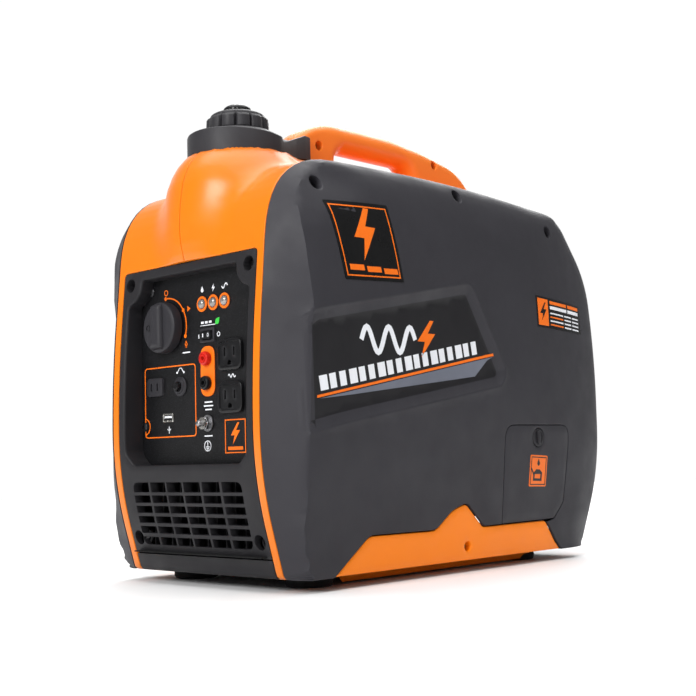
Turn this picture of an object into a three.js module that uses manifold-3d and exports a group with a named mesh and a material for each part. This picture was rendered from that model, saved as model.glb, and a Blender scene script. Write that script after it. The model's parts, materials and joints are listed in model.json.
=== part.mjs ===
// Inverter generator, suitcase type. Millimetres, +Z up, control panel facing -Y, feet on z = 0.
// Each sub-part is one closed solid in its own named mesh.
import * as THREE from 'three';
import { mergeVertices } from 'three/addons/utils/BufferGeometryUtils.js';
import Module from 'manifold-3d';

const wasm = await Module();
wasm.setup();

// ---- Driving dimensions -------------------------------------------------------------------
const HALF_LENGTH = 250;
const TOP = 384;                 // highest line of the casing, without cap and handle
const BOTTOM = 11;               // underside of the casing
const CAP_TOP = 455;             // overall height
const SEAM_X = 105;              // joint between the centre frame and each side cover
const WINDOW_X = 96;             // half width of the front and rear covers
const WALL = 3;                  // moulded wall
const GAP = 0.4;                 // running gap between neighbouring parts
const MID = { y: -60, z: 200 };  // centre that the casing's insets shrink towards
const FILLER = { y: -177, z: 421 };
const CRANK = { y: 25, z: 135 };
const GRIP = { y: 134, z: 208 };  // recoil starter grip, left side
const PANEL_Y = -228;            // front face of the control panel
const FOOT = { x: 79, front: -172, rear: 133, r: 21.5, height: 10.6 };

const ORANGE = 0xf58a1f;
const DARK = 0x3f3f43;
const BLACK = 0x1b1b1d;
const ALLOY = 0xb4b6b8;
const STEEL = 0x8f9194;

// Casing outline in side view: corner y, corner z and the length that its rounding takes up.
const CASING = [
  [-226, BOTTOM, 5], [-251, 98, 48], [-250, 200, 48], [-233.5, 380, 75], [0, TOP + 1, 90],
  [182, 374, 22], [238, 306, 34], [250.5, 215, 48], [249, 92, 48], [208, BOTTOM, 5],
];
// Side cover: each section's x, then how far it draws in at the front, rear, bottom and top.
const COVER_SECTIONS = [
  [SEAM_X, 0, 0, 0, 0], [118, 7, 9, 1, 5], [130, 13, 42, 3, 24], [138, 17.5, 95, 70, 58],
  [143, 20, 140, 139, 93], [144.8, 27, 180, 160, 108],
];
const SIDE_RECESS = [
  [-226, 229, 5], [-212, 236, 5], [-8, 274, 12], [42, 193, 6], [36, 182, 5], [-181, 149, 6], [-226, 149, 5],
];
const SILL = [
  [-190, 8, 0], [-148, 44, 5], [-58, 43.5, 5], [-35, 60, 5], [-14, 67, 5], [14, 43, 4], [117, 42.5, 4],
  [138, 21, 3], [149, 8, 0],
];
const OIL_DOOR = [[43, 44.5, 1], [43, 141, 14], [157, 141, 14], [149, 60, 4], [133, 44.5, 2]];
const DOOR_KNOB = { y: 99.4, z: 128, r: 9.5 };

// ---- Geometry helpers ---------------------------------------------------------------------
function solid(geometry) {
  const bare = geometry.clone();
  bare.deleteAttribute('normal');
  bare.deleteAttribute('uv');
  const merged = mergeVertices(bare, 1e-4);
  return new wasm.Manifold(new wasm.Mesh({
    numProp: 3,
    vertProperties: new Float32Array(merged.attributes.position.array),
    triVerts: new Uint32Array(merged.index.array),
  }));
}

function geometryOf(manifold) {
  const mesh = manifold.getMesh();
  const geometry = new THREE.BufferGeometry();
  geometry.setAttribute('position', new THREE.BufferAttribute(mesh.vertProperties, 3));
  geometry.setIndex(new THREE.BufferAttribute(mesh.triVerts, 1));
  return geometry;
}

const cut = (body, ...tools) => tools.reduce((result, tool) => result.subtract(tool), body);
const join = (body, ...others) => others.reduce((result, other) => result.add(other), body);

function box([x0, x1], [y0, y1], [z0, z1]) {
  const geometry = new THREE.BoxGeometry(x1 - x0, y1 - y0, z1 - z0);
  return solid(geometry.translate((x0 + x1) / 2, (y0 + y1) / 2, (z0 + z1) / 2));
}

// Corners given as [a, b, rounding] become a smooth closed outline.
function outline(corners, steps = 5) {
  const points = [];
  corners.forEach(([a, b, rounding], i) => {
    const corner = new THREE.Vector2(a, b);
    if (!rounding) {
      points.push(corner);
      return;
    }
    const before = corners.at(i - 1);
    const after = corners[(i + 1) % corners.length];
    const toward = ([x, y]) => new THREE.Vector2(x - a, y - b).setLength(rounding).add(corner);
    points.push(...new THREE.QuadraticBezierCurve(toward(before), corner, toward(after)).getPoints(steps));
  });
  return points;
}

function extrude(points, from, to, basis, options = {}) {
  const shape = new THREE.Shape(points);
  const bevel = options.bevelThickness ?? 0;
  const settings = { depth: to - from - 2 * bevel, bevelEnabled: false, steps: 1, ...options };
  const geometry = new THREE.ExtrudeGeometry(shape, settings);
  geometry.translate(0, 0, from + bevel);
  return solid(geometry.applyMatrix4(basis));
}

const axisX = new THREE.Vector3(1, 0, 0);
const axisY = new THREE.Vector3(0, 1, 0);
const axisZ = new THREE.Vector3(0, 0, 1);
const ALONG_X = new THREE.Matrix4().makeBasis(axisY, axisZ, axisX);
const ALONG_Y = new THREE.Matrix4().makeBasis(axisX, axisZ, axisY.clone().negate());
const ALONG_Z = new THREE.Matrix4();
const prismX = (points, x0, x1, options) => extrude(points, x0, x1, ALONG_X, options);
const prismY = (points, y0, y1) => extrude(points, -y1, -y0, ALONG_Y);
const prismZ = (points, z0, z1) => extrude(points, z0, z1, ALONG_Z);

// Turned solid: profile of [radius, height] from axis to axis, on a unit axis through a point.
function turned(profile, axis, origin, segments = 28) {
  const geometry = new THREE.LatheGeometry(profile.map(([r, h]) => new THREE.Vector2(r, h)), segments);
  const turn = new THREE.Quaternion().setFromUnitVectors(axisY, axis);
  return solid(geometry.applyQuaternion(turn).translate(...origin));
}

const rod = (r, from, to, axis, origin, segments = 28) => (
  turned([[0, from], [r, from], [r, to], [0, to]], axis, origin, segments)
);
const ring = (outer, inner, from, to, axis, origin, segments = 28) => (
  cut(rod(outer, from, to, axis, origin, segments), rod(inner, from - 1, to + 1, axis, origin, segments))
);
const mirrored = (manifold) => manifold.mirror([1, 0, 0]);

// Skin through rings that have the same number of points, closed by two flat ends.
function loft(rings) {
  const count = rings[0].length;
  const geometry = new THREE.BufferGeometry();
  const ends = THREE.ShapeUtils.triangulateShape(rings[0].map((p) => new THREE.Vector2(p.y, p.z)), []);
  const last = (rings.length - 1) * count;
  const index = [];
  ends.forEach(([a, b, c]) => index.push(a, c, b, last + a, last + b, last + c));
  for (let row = 0; row < last; row += count) {
    for (let i = 0; i < count; i += 1) {
      const next = (i + 1) % count;
      index.push(row + i, row + next, row + count + next, row + i, row + count + next, row + count + i);
    }
  }
  geometry.setFromPoints(rings.flat());
  geometry.setIndex(index);
  const shell = solid(geometry);
  return shell;
}

// Casing outline drawn in by different amounts on its four sides.
function drawnIn(points, front, rear, bottom, top) {
  const shrink = (value, mid, low, high, lowInset, highInset) => (
    value < mid
      ? mid + (value - mid) * (1 - lowInset / (mid - low))
      : mid + (value - mid) * (1 - highInset / (high - mid))
  );
  return points.map((p) => new THREE.Vector2(
    shrink(p.x, MID.y, -HALF_LENGTH, HALF_LENGTH, front, rear),
    shrink(p.y, MID.z, BOTTOM, TOP, bottom, top),
  ));
}

const casing = outline(CASING, 4).reverse();
const inner = (inset) => drawnIn(casing, inset, inset, inset, inset);

function coverBody(inset, startX) {
  const rings = COVER_SECTIONS.map(([x, ...sides]) => (
    drawnIn(casing, ...sides.map((side) => side + inset))
      .map((p) => new THREE.Vector3(Math.max(startX, x - inset), p.x, p.y))
  ));
  rings[0].forEach((p) => p.setX(startX));
  return loft(rings);
}

// ---- Assembly -----------------------------------------------------------------------------
const generator = new THREE.Group();

function part(name, manifold, color, roughness, metalness = 0) {
  const material = new THREE.MeshStandardMaterial({ color, roughness, metalness });
  const mesh = new THREE.Mesh(geometryOf(manifold), material);
  mesh.name = name;
  generator.add(mesh);
}

// ---- Side covers, sills and oil door --------------------------------------------------------
const FLOOR_X = 139;             // floor of the shallow recess on each side cover
const recess = prismX(outline(SIDE_RECESS, 3), FLOOR_X, 160);
const RECESS_MID = { y: -90, z: 205 };
const recessBackPoints = outline(SIDE_RECESS, 3).map((p) => new THREE.Vector2(
  RECESS_MID.y + (p.x - RECESS_MID.y) * 1.03,
  RECESS_MID.z + (p.y - RECESS_MID.z) * 1.07,
));
const recessBack = prismX(recessBackPoints, FLOOR_X - WALL, 160);
const coverOuter = coverBody(0, SEAM_X);
const coverShell = cut(coverOuter, recess, cut(coverBody(WALL, SEAM_X - 5), recessBack));
const sillRegion = prismX(outline(SILL, 2), SEAM_X + 3, 160);
const coverBlank = cut(coverShell, sillRegion);

const doorOpening = prismX(outline(OIL_DOOR, 4), 120, 160);
const DOOR_MIDDLE = new THREE.Vector2(98, 92);
const DOOR_SCALE = 0.99;           // leaves the running gap round the door
const doorPoints = outline(OIL_DOOR, 4).map((p) => p.clone().lerp(DOOR_MIDDLE, 1 - DOOR_SCALE));
const knobAxis = [0, DOOR_KNOB.y, DOOR_KNOB.z];
const knobHole = rod(DOOR_KNOB.r + GAP, 120, 160, axisX, knobAxis, 20);
part('cover_right', cut(coverBlank, doorOpening), DARK, 0.6);
part('oil_door', cut(coverShell.intersect(prismX(doorPoints, 120, 160)), knobHole), DARK, 0.6);
const knobSlot = box(
  [141, 150],
  [DOOR_KNOB.y - 7, DOOR_KNOB.y + 7],
  [DOOR_KNOB.z - 1.2, DOOR_KNOB.z + 1.2],
);
part('oil_door_knob', cut(rod(DOOR_KNOB.r, 134, 143.4, axisX, knobAxis, 20), knobSlot), BLACK, 0.5);

const pocket = box([124, 150], [GRIP.y - 36, GRIP.y + 36], [GRIP.z - 18, GRIP.z + 18]);
const pocketWall = box([121.5, 137], [GRIP.y - 38.5, GRIP.y + 38.5], [GRIP.z - 20.5, GRIP.z + 20.5]);
const ropeHole = rod(4, 110, 130, axisX, [0, GRIP.y, GRIP.z], 16);
const leftCover = cut(join(coverBlank, pocketWall), pocket, ropeHole);
part('cover_left', mirrored(leftCover), DARK, 0.6);

// Shrunk a little towards its own middle, so that it sits clear in the cover's opening.
const SILL_MIDDLE_Y = -20;
const sillPoints = outline(SILL, 2).map(({ x, y }) => new THREE.Vector2(
  SILL_MIDDLE_Y + (x - SILL_MIDDLE_Y) * 0.985,
  BOTTOM + (y - BOTTOM) * 0.965,
));
const sillShell = cut(coverBody(2, SEAM_X), coverBody(2 + WALL, SEAM_X - 5));
const sillScrewHole = rod(4, 100, 160, axisX, [0, -8, 25], 16);
const sill = cut(sillShell.intersect(prismX(sillPoints, SEAM_X + 4, 160)), sillScrewHole);
part('sill_right', sill, ORANGE, 0.4);
part('sill_left', mirrored(sill), ORANGE, 0.4);

// ---- Centre frame with hood and carrying handle, split on the centre plane -------------------
const HOOD = [[0, 290], [60, 290], [67, 299], [71, 311], [73, 325], [72, 343], [68, 368], [60, 389],
  [55, 396], [49, 406], [46, 412], [0, 412]];
const HANDLE_X = 17;
const HANDLE = [
  [-118, 376, 0], [-115, 432, 12], [-62, 454, 30], [43, 455, 40], [124, 437, 30], [176, 416, 20],
  [200, 376, 0], [64, 376, 0], [41, 424, 16], [-53, 424, 8], [-58, 376, 0],
];
const COLLAR_SIDE = [
  [-245, 395, 0], [-78, 411, 0], [-78, 432, 0], [-106, 433, 4], [-130, 426, 6], [-238, 416, 4],
];
const COLLAR_TAIL = [[23, -79], [47, -165], [-47, -165], [-23, -79]];
const fillerAxis = [0, FILLER.y, 0];

const window = (side, z0, z1) => box([-WINDOW_X, WINDOW_X], side, [z0, z1]);
const frameRing = cut(
  prismX(casing, -SEAM_X + 0.3, SEAM_X - 0.3),
  prismX(inner(4), -200, 200),
  window([120, 260], 38, 296),
  window([-260, 260], 0, 60),
);
const hoodCavity = turned(HOOD.map(([r, h]) => [r && r - 4, h - (h > 400 ? 6 : 0)]), axisZ, fillerAxis, 28);
const handle = prismX(outline(HANDLE, 5), -HANDLE_X, HANDLE_X,
  { bevelEnabled: true, bevelThickness: 9, bevelSize: 9, bevelOffset: -9, bevelSegments: 2 });
const saddle = (halfBase, halfTop, top, rear) => prismY(
  [[-halfBase, 370], [halfBase, 370], [halfTop, top], [-halfTop, top]]
    .map(([x, z]) => new THREE.Vector2(x, z)),
  FILLER.y, rear,
);
const hood = join(turned(HOOD, axisZ, fillerAxis, 28), saddle(54, 24, 414, -84));
const collarRegion = prismX(
  [[-300, 389], [-60, 412], [-60, 500], [-300, 500]].map(([y, z]) => new THREE.Vector2(y, z)), -60, 60,
);
const frame = cut(
  join(frameRing, cut(hood, prismX(inner(4), -200, 200))),
  join(hoodCavity, saddle(50, 20, 408, -88)),
  window([-260, -120], 0, 294.8),
  collarRegion,
  rod(27, 380, 430, axisZ, fillerAxis),
);
const frameWithHandle = join(frame, handle);
const half = (sign) => box(sign > 0 ? [0.15, 200] : [-200, -0.15], [-300, 300], [-50, 500]);
part('frame_right', frameWithHandle.intersect(half(1)), ORANGE, 0.4);
part('frame_left', frameWithHandle.intersect(half(-1)), ORANGE, 0.4);

// ---- Filler collar, tank, gasket, cap and vent knob ------------------------------------------
const collarBlank = join(
  rod(49, 380, 440, axisZ, fillerAxis, 28),
  prismZ(COLLAR_TAIL.map(([x, y]) => new THREE.Vector2(x, y)), 380, 440),
).intersect(prismX(outline(COLLAR_SIDE, 3).reverse(), -60, 60));
const handleClearance = box([-HANDLE_X - 0.5, HANDLE_X + 0.5], [-120, -70], [370, 500]);
part('cap_collar', cut(collarBlank, handleClearance, rod(24, 370, 450, axisZ, fillerAxis)), BLACK, 0.6);

const TANK = { x: 86, front: -215, rear: 60, low: 300, high: 370 };
const tankOuter = outline([
  [TANK.front, TANK.low, 12], [TANK.rear, TANK.low, 12],
  [TANK.rear, TANK.high, 12], [TANK.front + 18, TANK.high, 12],
], 3);
const TANK_MIDDLE = { y: -75, z: 335 };
const tankInner = tankOuter.map(({ x, y }) => new THREE.Vector2(
  TANK_MIDDLE.y + (x - TANK_MIDDLE.y) * 0.975,
  TANK_MIDDLE.z + (y - TANK_MIDDLE.z) * 0.915,
));
const tank = cut(
  join(prismX(tankOuter, -TANK.x, TANK.x), rod(22, TANK.high - 5, FILLER.z, axisZ, fillerAxis)),
  prismX(tankInner, -TANK.x + WALL, TANK.x - WALL),
  rod(19, 340, FILLER.z + 1, axisZ, fillerAxis),
);
part('fuel_tank', tank, BLACK, 0.6);
part('cap_gasket', ring(22, 18, FILLER.z + GAP, FILLER.z + 3, axisZ, fillerAxis), BLACK, 0.9);

const CAP_RIBS = 12;
const capBody = turned([[0, 425.2], [30.5, 425.2], [30.5, 437], [27, 441], [24, 444.5], [0, 446.2]],
  axisZ, fillerAxis, 24);
const capRibs = Array.from({ length: CAP_RIBS }, (_, i) => {
  const angle = (i + 0.5) * 2 * Math.PI / CAP_RIBS;
  const origin = [31 * Math.cos(angle), FILLER.y + 31 * Math.sin(angle), 0];
  return rod(2.2, 420, 450, axisZ, origin, 6);
});
part('fuel_cap', cut(capBody, rod(19, 420, 426.5, axisZ, fillerAxis, 16), ...capRibs), BLACK, 0.55);
const ventKnob = turned([[0, 446.6], [13.8, 446.6], [13.8, 449], [9, 453.8], [0, CAP_TOP]],
  axisZ, fillerAxis, 20);
part('vent_knob', ventKnob, BLACK, 0.5);

// ---- Front cover, rear cover, bottom tray and feet -------------------------------------------
const coverX = WINDOW_X - GAP;
const frontBlock = prismX(casing, -coverX, coverX)
  .intersect(box([-100, 100], [-260, PANEL_Y - 0.3], [28, 294.4]));
const grilleRoom = prismX(inner(WALL), -92, 92).intersect(box([-92, 92], [-260, -200], [31, 106]));
const PANEL_WINDOW = [
  [-75, 110, 3], [75, 110, 3], [87, 119, 5], [87, 284.5, 0], [-87, 284.5, 0], [-87, 119, 5],
];
const FRONT_SCREWS = [[85.3, 282], [-85.3, 282], [85.2, 42.6], [-85.2, 42.6]];
const screwBoss = (sign) => rod(19, -10, 40, axisY, [sign * 85.3, -250, 282], 20);
const panelWindow = cut(prismY(outline(PANEL_WINDOW, 3), -260, -200), screwBoss(1), screwBoss(-1));
const slots = [];
const GRILLE = { x: 77, low: 36, rows: 6, columns: 6, pitchX: 25.7, pitchZ: 10, slotX: 22, slotZ: 7 };
for (let row = 0; row < GRILLE.rows; row += 1) {
  for (let column = 0; column < GRILLE.columns; column += 1) {
    const x0 = -GRILLE.x + column * GRILLE.pitchX;
    const z0 = GRILLE.low + row * GRILLE.pitchZ;
    slots.push(box([x0, x0 + GRILLE.slotX], [-260, -230], [z0, z0 + GRILLE.slotZ]));
  }
}
const screwPocket = (x, z) => rod(7.5, -12, 5, axisY, [x, -243, z], 16);
const frontPockets = FRONT_SCREWS.map(([x, z]) => screwPocket(x, z));
part('front_cover', cut(frontBlock, grilleRoom, panelWindow, ...slots, ...frontPockets), DARK, 0.6);

const rearBlock = prismX(casing, -coverX, coverX).intersect(box([-100, 100], [205, 260], [38.4, 295.6]));
const rearRoom = prismX(inner(WALL), -92, 92).intersect(box([-92, 92], [100, 260], [42, 292]));
const EXHAUST = { x: 38, z: 232, r: 27 };
const rearSlots = [];
for (let row = 0; row < 7; row += 1) {
  for (let column = 0; column < 3; column += 1) {
    const x0 = -78 + column * 54;
    const z0 = 62 + row * 18;
    rearSlots.push(box([x0, x0 + 48], [200, 260], [z0, z0 + 10]));
  }
}
const exhaustHole = rod(EXHAUST.r, 180, 260, axisY, [EXHAUST.x, 0, EXHAUST.z], 24);
part('rear_cover', cut(rearBlock, rearRoom, exhaustHole, ...rearSlots), DARK, 0.6);

const trayBlock = prismX(casing, -coverX, coverX).intersect(box([-100, 100], [-260, 260], [0, 27.4]));
const trayRoom = box([-90, 90], [-222, 200], [14.5, 30]);
part('bottom_tray', cut(trayBlock, trayRoom), BLACK, 0.7);

for (const [side, x] of [['right', FOOT.x], ['left', -FOOT.x]]) {
  for (const [end, y] of [['front', FOOT.front], ['rear', FOOT.rear]]) {
    const foot = turned([[0, 0], [FOOT.r - 2, 0], [FOOT.r, 3], [FOOT.r, FOOT.height], [0, FOOT.height]],
      axisZ, [x, y, 0], 24);
    part(`foot_${end}_${side}`, foot, BLACK, 0.9);
  }
}

// ---- Control panel and its controls -----------------------------------------------------------
const DIAL = { x: -47, z: 238.5, r: 24 };
const LAMPS = [['oil', 5], ['overload', 20.8], ['output', 36.6]];
const LAMP_Z = 256;
const ECO = { x: 12.8, z: 226.6, w: 20, h: 13 };
const JACK = { x: 12, red: 205.4, black: 183.2, r: 6.5 };
const OUTLET = { x: 44.6, upper: 207, lower: 168.7, w: 33.3, h: 28.5 };
const DC = { x: -65.3, z: 183.5, w: 24.5, h: 18 };
const BREAKER = { x: -28.5, z: 182.3 };
const USB = { x: -47, z: 154, w: 16, h: 9 };
const GROUND = { x: 10.8, z: 146.8 };
const at = (x, z) => [x, PANEL_Y, z];
// Block of this width and height round a point of the panel, from y0 to y1 behind its face.
const block = (x, z, w, h, y0, y1) => box(
  [x - w / 2, x + w / 2],
  [PANEL_Y + y0, PANEL_Y + y1],
  [z - h / 2, z + h / 2],
);
const plateHole = (w, h, x, z) => block(x, z, w, h, -5, 8);
const plateBore = (r, x, z) => rod(r, -5, 8, axisY, at(x, z), 14);
const plate = cut(
  box([-91, 91], [PANEL_Y, PANEL_Y + WALL], [107, 288]),
  plateBore(6, DIAL.x, DIAL.z),
  ...LAMPS.map(([, x]) => plateBore(5.2, x, LAMP_Z)),
  plateHole(18, 11, ECO.x, ECO.z),
  plateBore(5, JACK.x, JACK.red),
  plateBore(5, JACK.x, JACK.black),
  plateHole(30, 25, OUTLET.x, OUTLET.upper),
  plateHole(30, 25, OUTLET.x, OUTLET.lower),
  plateHole(21, 15, DC.x, DC.z),
  plateBore(7, BREAKER.x, BREAKER.z),
  plateHole(14, 7.5, USB.x, USB.z),
  plateBore(3.4, GROUND.x, GROUND.z),
);
part('control_panel', plate, BLACK, 0.6);

const dial = join(
  turned([[0, -12.4], [DIAL.r - 2, -12.2], [DIAL.r, -9], [DIAL.r, -0.6], [0, -0.6]],
    axisY, at(DIAL.x, DIAL.z), 28),
  block(DIAL.x, DIAL.z, 14, 42, -17, -5),
  rod(5.5, -5, 12, axisY, at(DIAL.x, DIAL.z), 20),
);
part('engine_dial', dial, BLACK, 0.5);
part('fuel_valve', block(DIAL.x, DIAL.z, 32, 28, 12.4, 40), ALLOY, 0.4, 0.8);

for (const [name, x] of LAMPS) {
  const lamp = join(
    turned([[0, -6], [2.5, -5.5], [4.8, -4], [4.8, 14], [0, 14]], axisY, at(x, LAMP_Z), 12),
    ring(7.2, 4, -2.4, -0.3, axisY, at(x, LAMP_Z), 12),
  );
  part(`lamp_${name}`, lamp, 0xd8d4cc, 0.2);
}

const ecoFrame = join(
  block(ECO.x, ECO.z, ECO.w, ECO.h, -2, -0.3),
  block(ECO.x, ECO.z, 17.2, 10.2, -1, 20),
);
const ecoWell = block(ECO.x, ECO.z, 15.2, 8.2, -10, 10);
part('eco_switch_frame', cut(ecoFrame, ecoWell), BLACK, 0.5);
const rockerShape = [[-6.6, -4.6], [0, -3], [6.6, -4.6], [5.4, 4], [-5.4, 4]];
const rockerPoints = rockerShape.map(([x, y]) => new THREE.Vector2(ECO.x + x, PANEL_Y + y));
part('eco_switch_rocker', prismZ(rockerPoints, ECO.z - 3.8, ECO.z + 3.8), BLACK, 0.4);

const PLATE = { w: 9.75, low: 171, high: 217, round: 8 };
const stadium = outline([
  [JACK.x - PLATE.w, PLATE.low, PLATE.round], [JACK.x + PLATE.w, PLATE.low, PLATE.round],
  [JACK.x + PLATE.w, PLATE.high, PLATE.round], [JACK.x - PLATE.w, PLATE.high, PLATE.round],
], 4);
const jackPlate = prismY(stadium, PANEL_Y - 1.6, PANEL_Y - 0.3);
const jackBores = [JACK.red, JACK.black].map((z) => plateBore(5, JACK.x, z));
part('jack_plate', cut(jackPlate, ...jackBores), ORANGE, 0.5);
for (const [name, z, color] of [['red', JACK.red, 0xc22518], ['black', JACK.black, BLACK]]) {
  const head = rod(JACK.r, -7.5, -2, axisY, at(JACK.x, z), 20);
  const jack = join(head, rod(4.6, -4, 16, axisY, at(JACK.x, z), 20));
  part(`parallel_jack_${name}`, cut(jack, rod(2, -9, 10, axisY, at(JACK.x, z), 12)), color, 0.4);
}

for (const [name, z] of [['upper', OUTLET.upper], ['lower', OUTLET.lower]]) {
  const face = block(OUTLET.x, z, OUTLET.w, OUTLET.h, -4, -0.3);
  const core = block(OUTLET.x, z, 28.8, 24, -2, 26);
  const outlet = cut(
    join(face, core),
    block(OUTLET.x - 6.4, z + 2, 2.2, 8, -9, 10),
    block(OUTLET.x + 6.4, z + 2, 2.2, 6.6, -9, 10),
    rod(2.4, -9, 10, axisY, at(OUTLET.x, z - 7.5), 12),
  );
  part(`outlet_${name}`, outlet, BLACK, 0.4);
}

const dcFace = block(DC.x, DC.z, DC.w, DC.h, -3, -0.3);
const dcCore = block(DC.x, DC.z, 20, 14, -2, 20);
const dcSlot = (x, w, h) => block(x, DC.z, w, h, -9, 10);
part('dc_socket', cut(join(dcFace, dcCore), dcSlot(DC.x - 5, 2.2, 8), dcSlot(DC.x + 5, 8, 2.2)), BLACK, 0.4);

const onBreaker = (r, y0, y1) => rod(r, y0, y1, axisY, at(BREAKER.x, BREAKER.z), 20);
const breakerBush = cut(join(onBreaker(9.5, -3.4, -0.3), onBreaker(6.6, -1, 24)), onBreaker(4.6, -9, 12));
part('dc_breaker_bush', breakerBush, STEEL, 0.35, 0.9);
part('dc_breaker_button', onBreaker(4.2, -7, 7), BLACK, 0.4);
const usbFace = block(USB.x, USB.z, USB.w, USB.h, -1.6, -0.3);
const usbCore = block(USB.x, USB.z, 13.4, 7, -1, 16);
const usbHole = block(USB.x, USB.z, 11.6, 4.8, -5, 9);
part('usb_port', cut(join(usbFace, usbCore), usbHole), BLACK, 0.4);
const onGround = (r, y0, y1, segments) => rod(r, y0, y1, axisY, at(GROUND.x, GROUND.z), segments);
part('ground_bolt', join(onGround(3, -14, 10, 16), onGround(5.5, 3.4, 7, 6)), ALLOY, 0.3, 1);
part('ground_nut', cut(onGround(6.2, -7, -0.4, 6), onGround(3.4, -9, 1, 16)), ALLOY, 0.3, 1);

// ---- Engine, alternator and cooling ------------------------------------------------------------
const crankAxis = [0, CRANK.y, CRANK.z];
const onCrank = (r, x0, x1, segments) => rod(r, x0, x1, axisX, crankAxis, segments);
const crankcase = cut(
  box([-30, 50], [-32, 82], [60, 190]),
  onCrank(12.5, -60, 60),
  box([10, 50.5], [66, 90], [150, 195]),
);
part('crankcase', crankcase, ALLOY, 0.5, 0.8);
part('crankshaft', join(onCrank(12, -93, 56, 24), onCrank(9, -125, -90, 24)), STEEL, 0.3, 1);

const FIN_PITCH = 9.5;
const fins = [0, 1, 2, 3, 4].map((i) => FIN_PITCH * i)
  .map((up) => box([-30, 50], [-22, 72], [196 + up, 199.5 + up]));
part('cylinder', join(box([-16, 36], [-4, 54], [190.4, 240]), ...fins), ALLOY, 0.5, 0.8);
const valveCover = outline([[-14, 240.4, 0], [64, 240.4, 0], [64, 268, 10], [-14, 268, 10]], 3);
part('valve_cover', prismX(valveCover, -22, 42), DARK, 0.5);
const PLUG = [[0, 50.4], [8, 50.4], [8, 58], [10, 58], [10, 84], [0, 84]];
part('spark_plug', turned(PLUG, axisX, [0, CRANK.y, 215], 14), 0xd8d4cc, 0.3);

const rotor = cut(onCrank(75, -98, -50, 30), onCrank(66, -94, -49, 30), onCrank(12.4, -100, -40, 24));
part('rotor', rotor, STEEL, 0.4, 0.9);
const POLES = 9;
const poleGaps = Array.from({ length: POLES }, (_, i) => {
  const angle = i * 2 * Math.PI / POLES;
  return rod(7, -95, -50, axisX, [0, CRANK.y + 55 * Math.cos(angle), CRANK.z + 55 * Math.sin(angle)], 6);
});
const statorCore = join(onCrank(64, -90, -54, 27), onCrank(34, -60, -30.4, 18));
const stator = cut(statorCore, onCrank(24, -95, -20, 18), ...poleGaps);
part('stator', stator, 0xa8622c, 0.5, 0.6);

const BLADES = 8;
const blades = Array.from({ length: BLADES }, (_, i) => {
  const angle = i * 2 * Math.PI / BLADES;
  const blade = box([-109, -101], [20, 70], [-1.5, 1.5]);
  return blade.rotate([angle * 180 / Math.PI, 0, 0]).translate([0, CRANK.y, CRANK.z]);
});
const fanWheel = join(onCrank(72, -102, -98.4, 24), onCrank(24, -110, -100, 24), ...blades);
part('cooling_fan', cut(fanWheel, onCrank(9.4, -120, -90, 24)),
  BLACK, 0.6);
part('ignition_coil', box([-88, -62], [101.5, 124], [118, 152]), BLACK, 0.5);

const recoilBowl = cut(
  onCrank(78, -131, -111, 28),
  onCrank(75, -128, -110, 28),
  onCrank(30, -140, -125, 20),
);
const bowlSpokes = cut(join(
  box([-131, -128.2], [CRANK.y - 40, CRANK.y + 40], [CRANK.z - 6, CRANK.z + 6]),
  onCrank(14, -131, -125, 20),
), onCrank(9.4, -128, -110, 20));
part('recoil_housing', join(recoilBowl, bowlSpokes), BLACK, 0.6);
part('recoil_reel', cut(onCrank(52, -124.5, -114, 32), onCrank(9.4, -140, -110, 20)), BLACK, 0.5);
const ropeCurve = new THREE.CatmullRomCurve3([
  new THREE.Vector3(-115, GRIP.y, GRIP.z),
  new THREE.Vector3(-120, GRIP.y, GRIP.z),
  new THREE.Vector3(-126.5, GRIP.y, GRIP.z),
]);
const ropeSection = new THREE.Shape().absarc(0, 0, 2, 0, 2 * Math.PI);
const ropeOptions = { steps: 4, curveSegments: 4, extrudePath: ropeCurve, bevelEnabled: false };
part('recoil_rope', solid(new THREE.ExtrudeGeometry(ropeSection, ropeOptions)), 0xd8d4cc, 0.8);
const grip = prismX(outline([
  [GRIP.y - 30, GRIP.z - 9, 8], [GRIP.y + 30, GRIP.z - 9, 8],
  [GRIP.y + 30, GRIP.z + 9, 8], [GRIP.y - 30, GRIP.z + 9, 8],
], 3), 127, 139, { bevelEnabled: true, bevelThickness: 4, bevelSize: 4, bevelOffset: -4, bevelSegments: 2 });
part('recoil_grip', mirrored(grip), BLACK, 0.5);

// ---- Intake, fuel, exhaust and electronics --------------------------------------------------------
part('carburetor', cut(
  join(box([-4, 32], [-92, -58], [200, 238]), rod(13, -60, -22.4, axisY, [14, 0, 219], 20)),
  rod(9, -100, -20, axisY, [14, 0, 219], 16),
), ALLOY, 0.4, 0.8);
const airCleaner = cut(box([-84, 36], [-150, -92.4], [195, 285]), box([-81, 33], [-147, -95.4], [198, 286]));
part('air_cleaner', airCleaner, BLACK, 0.6);
const hoseCurve = new THREE.CatmullRomCurve3([
  new THREE.Vector3(24, -74, 299.6),
  new THREE.Vector3(24, -74, 285),
  new THREE.Vector3(22, -70, 262),
  new THREE.Vector3(20, -72, 246),
  new THREE.Vector3(20, -72, 238.4),
]);
const hoseSection = new THREE.Shape().absarc(0, 0, 3.5, 0, 2 * Math.PI);
const hoseOptions = { steps: 10, curveSegments: 4, extrudePath: hoseCurve, bevelEnabled: false };
part('fuel_hose', solid(new THREE.ExtrudeGeometry(hoseSection, hoseOptions)), BLACK, 0.7);

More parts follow.
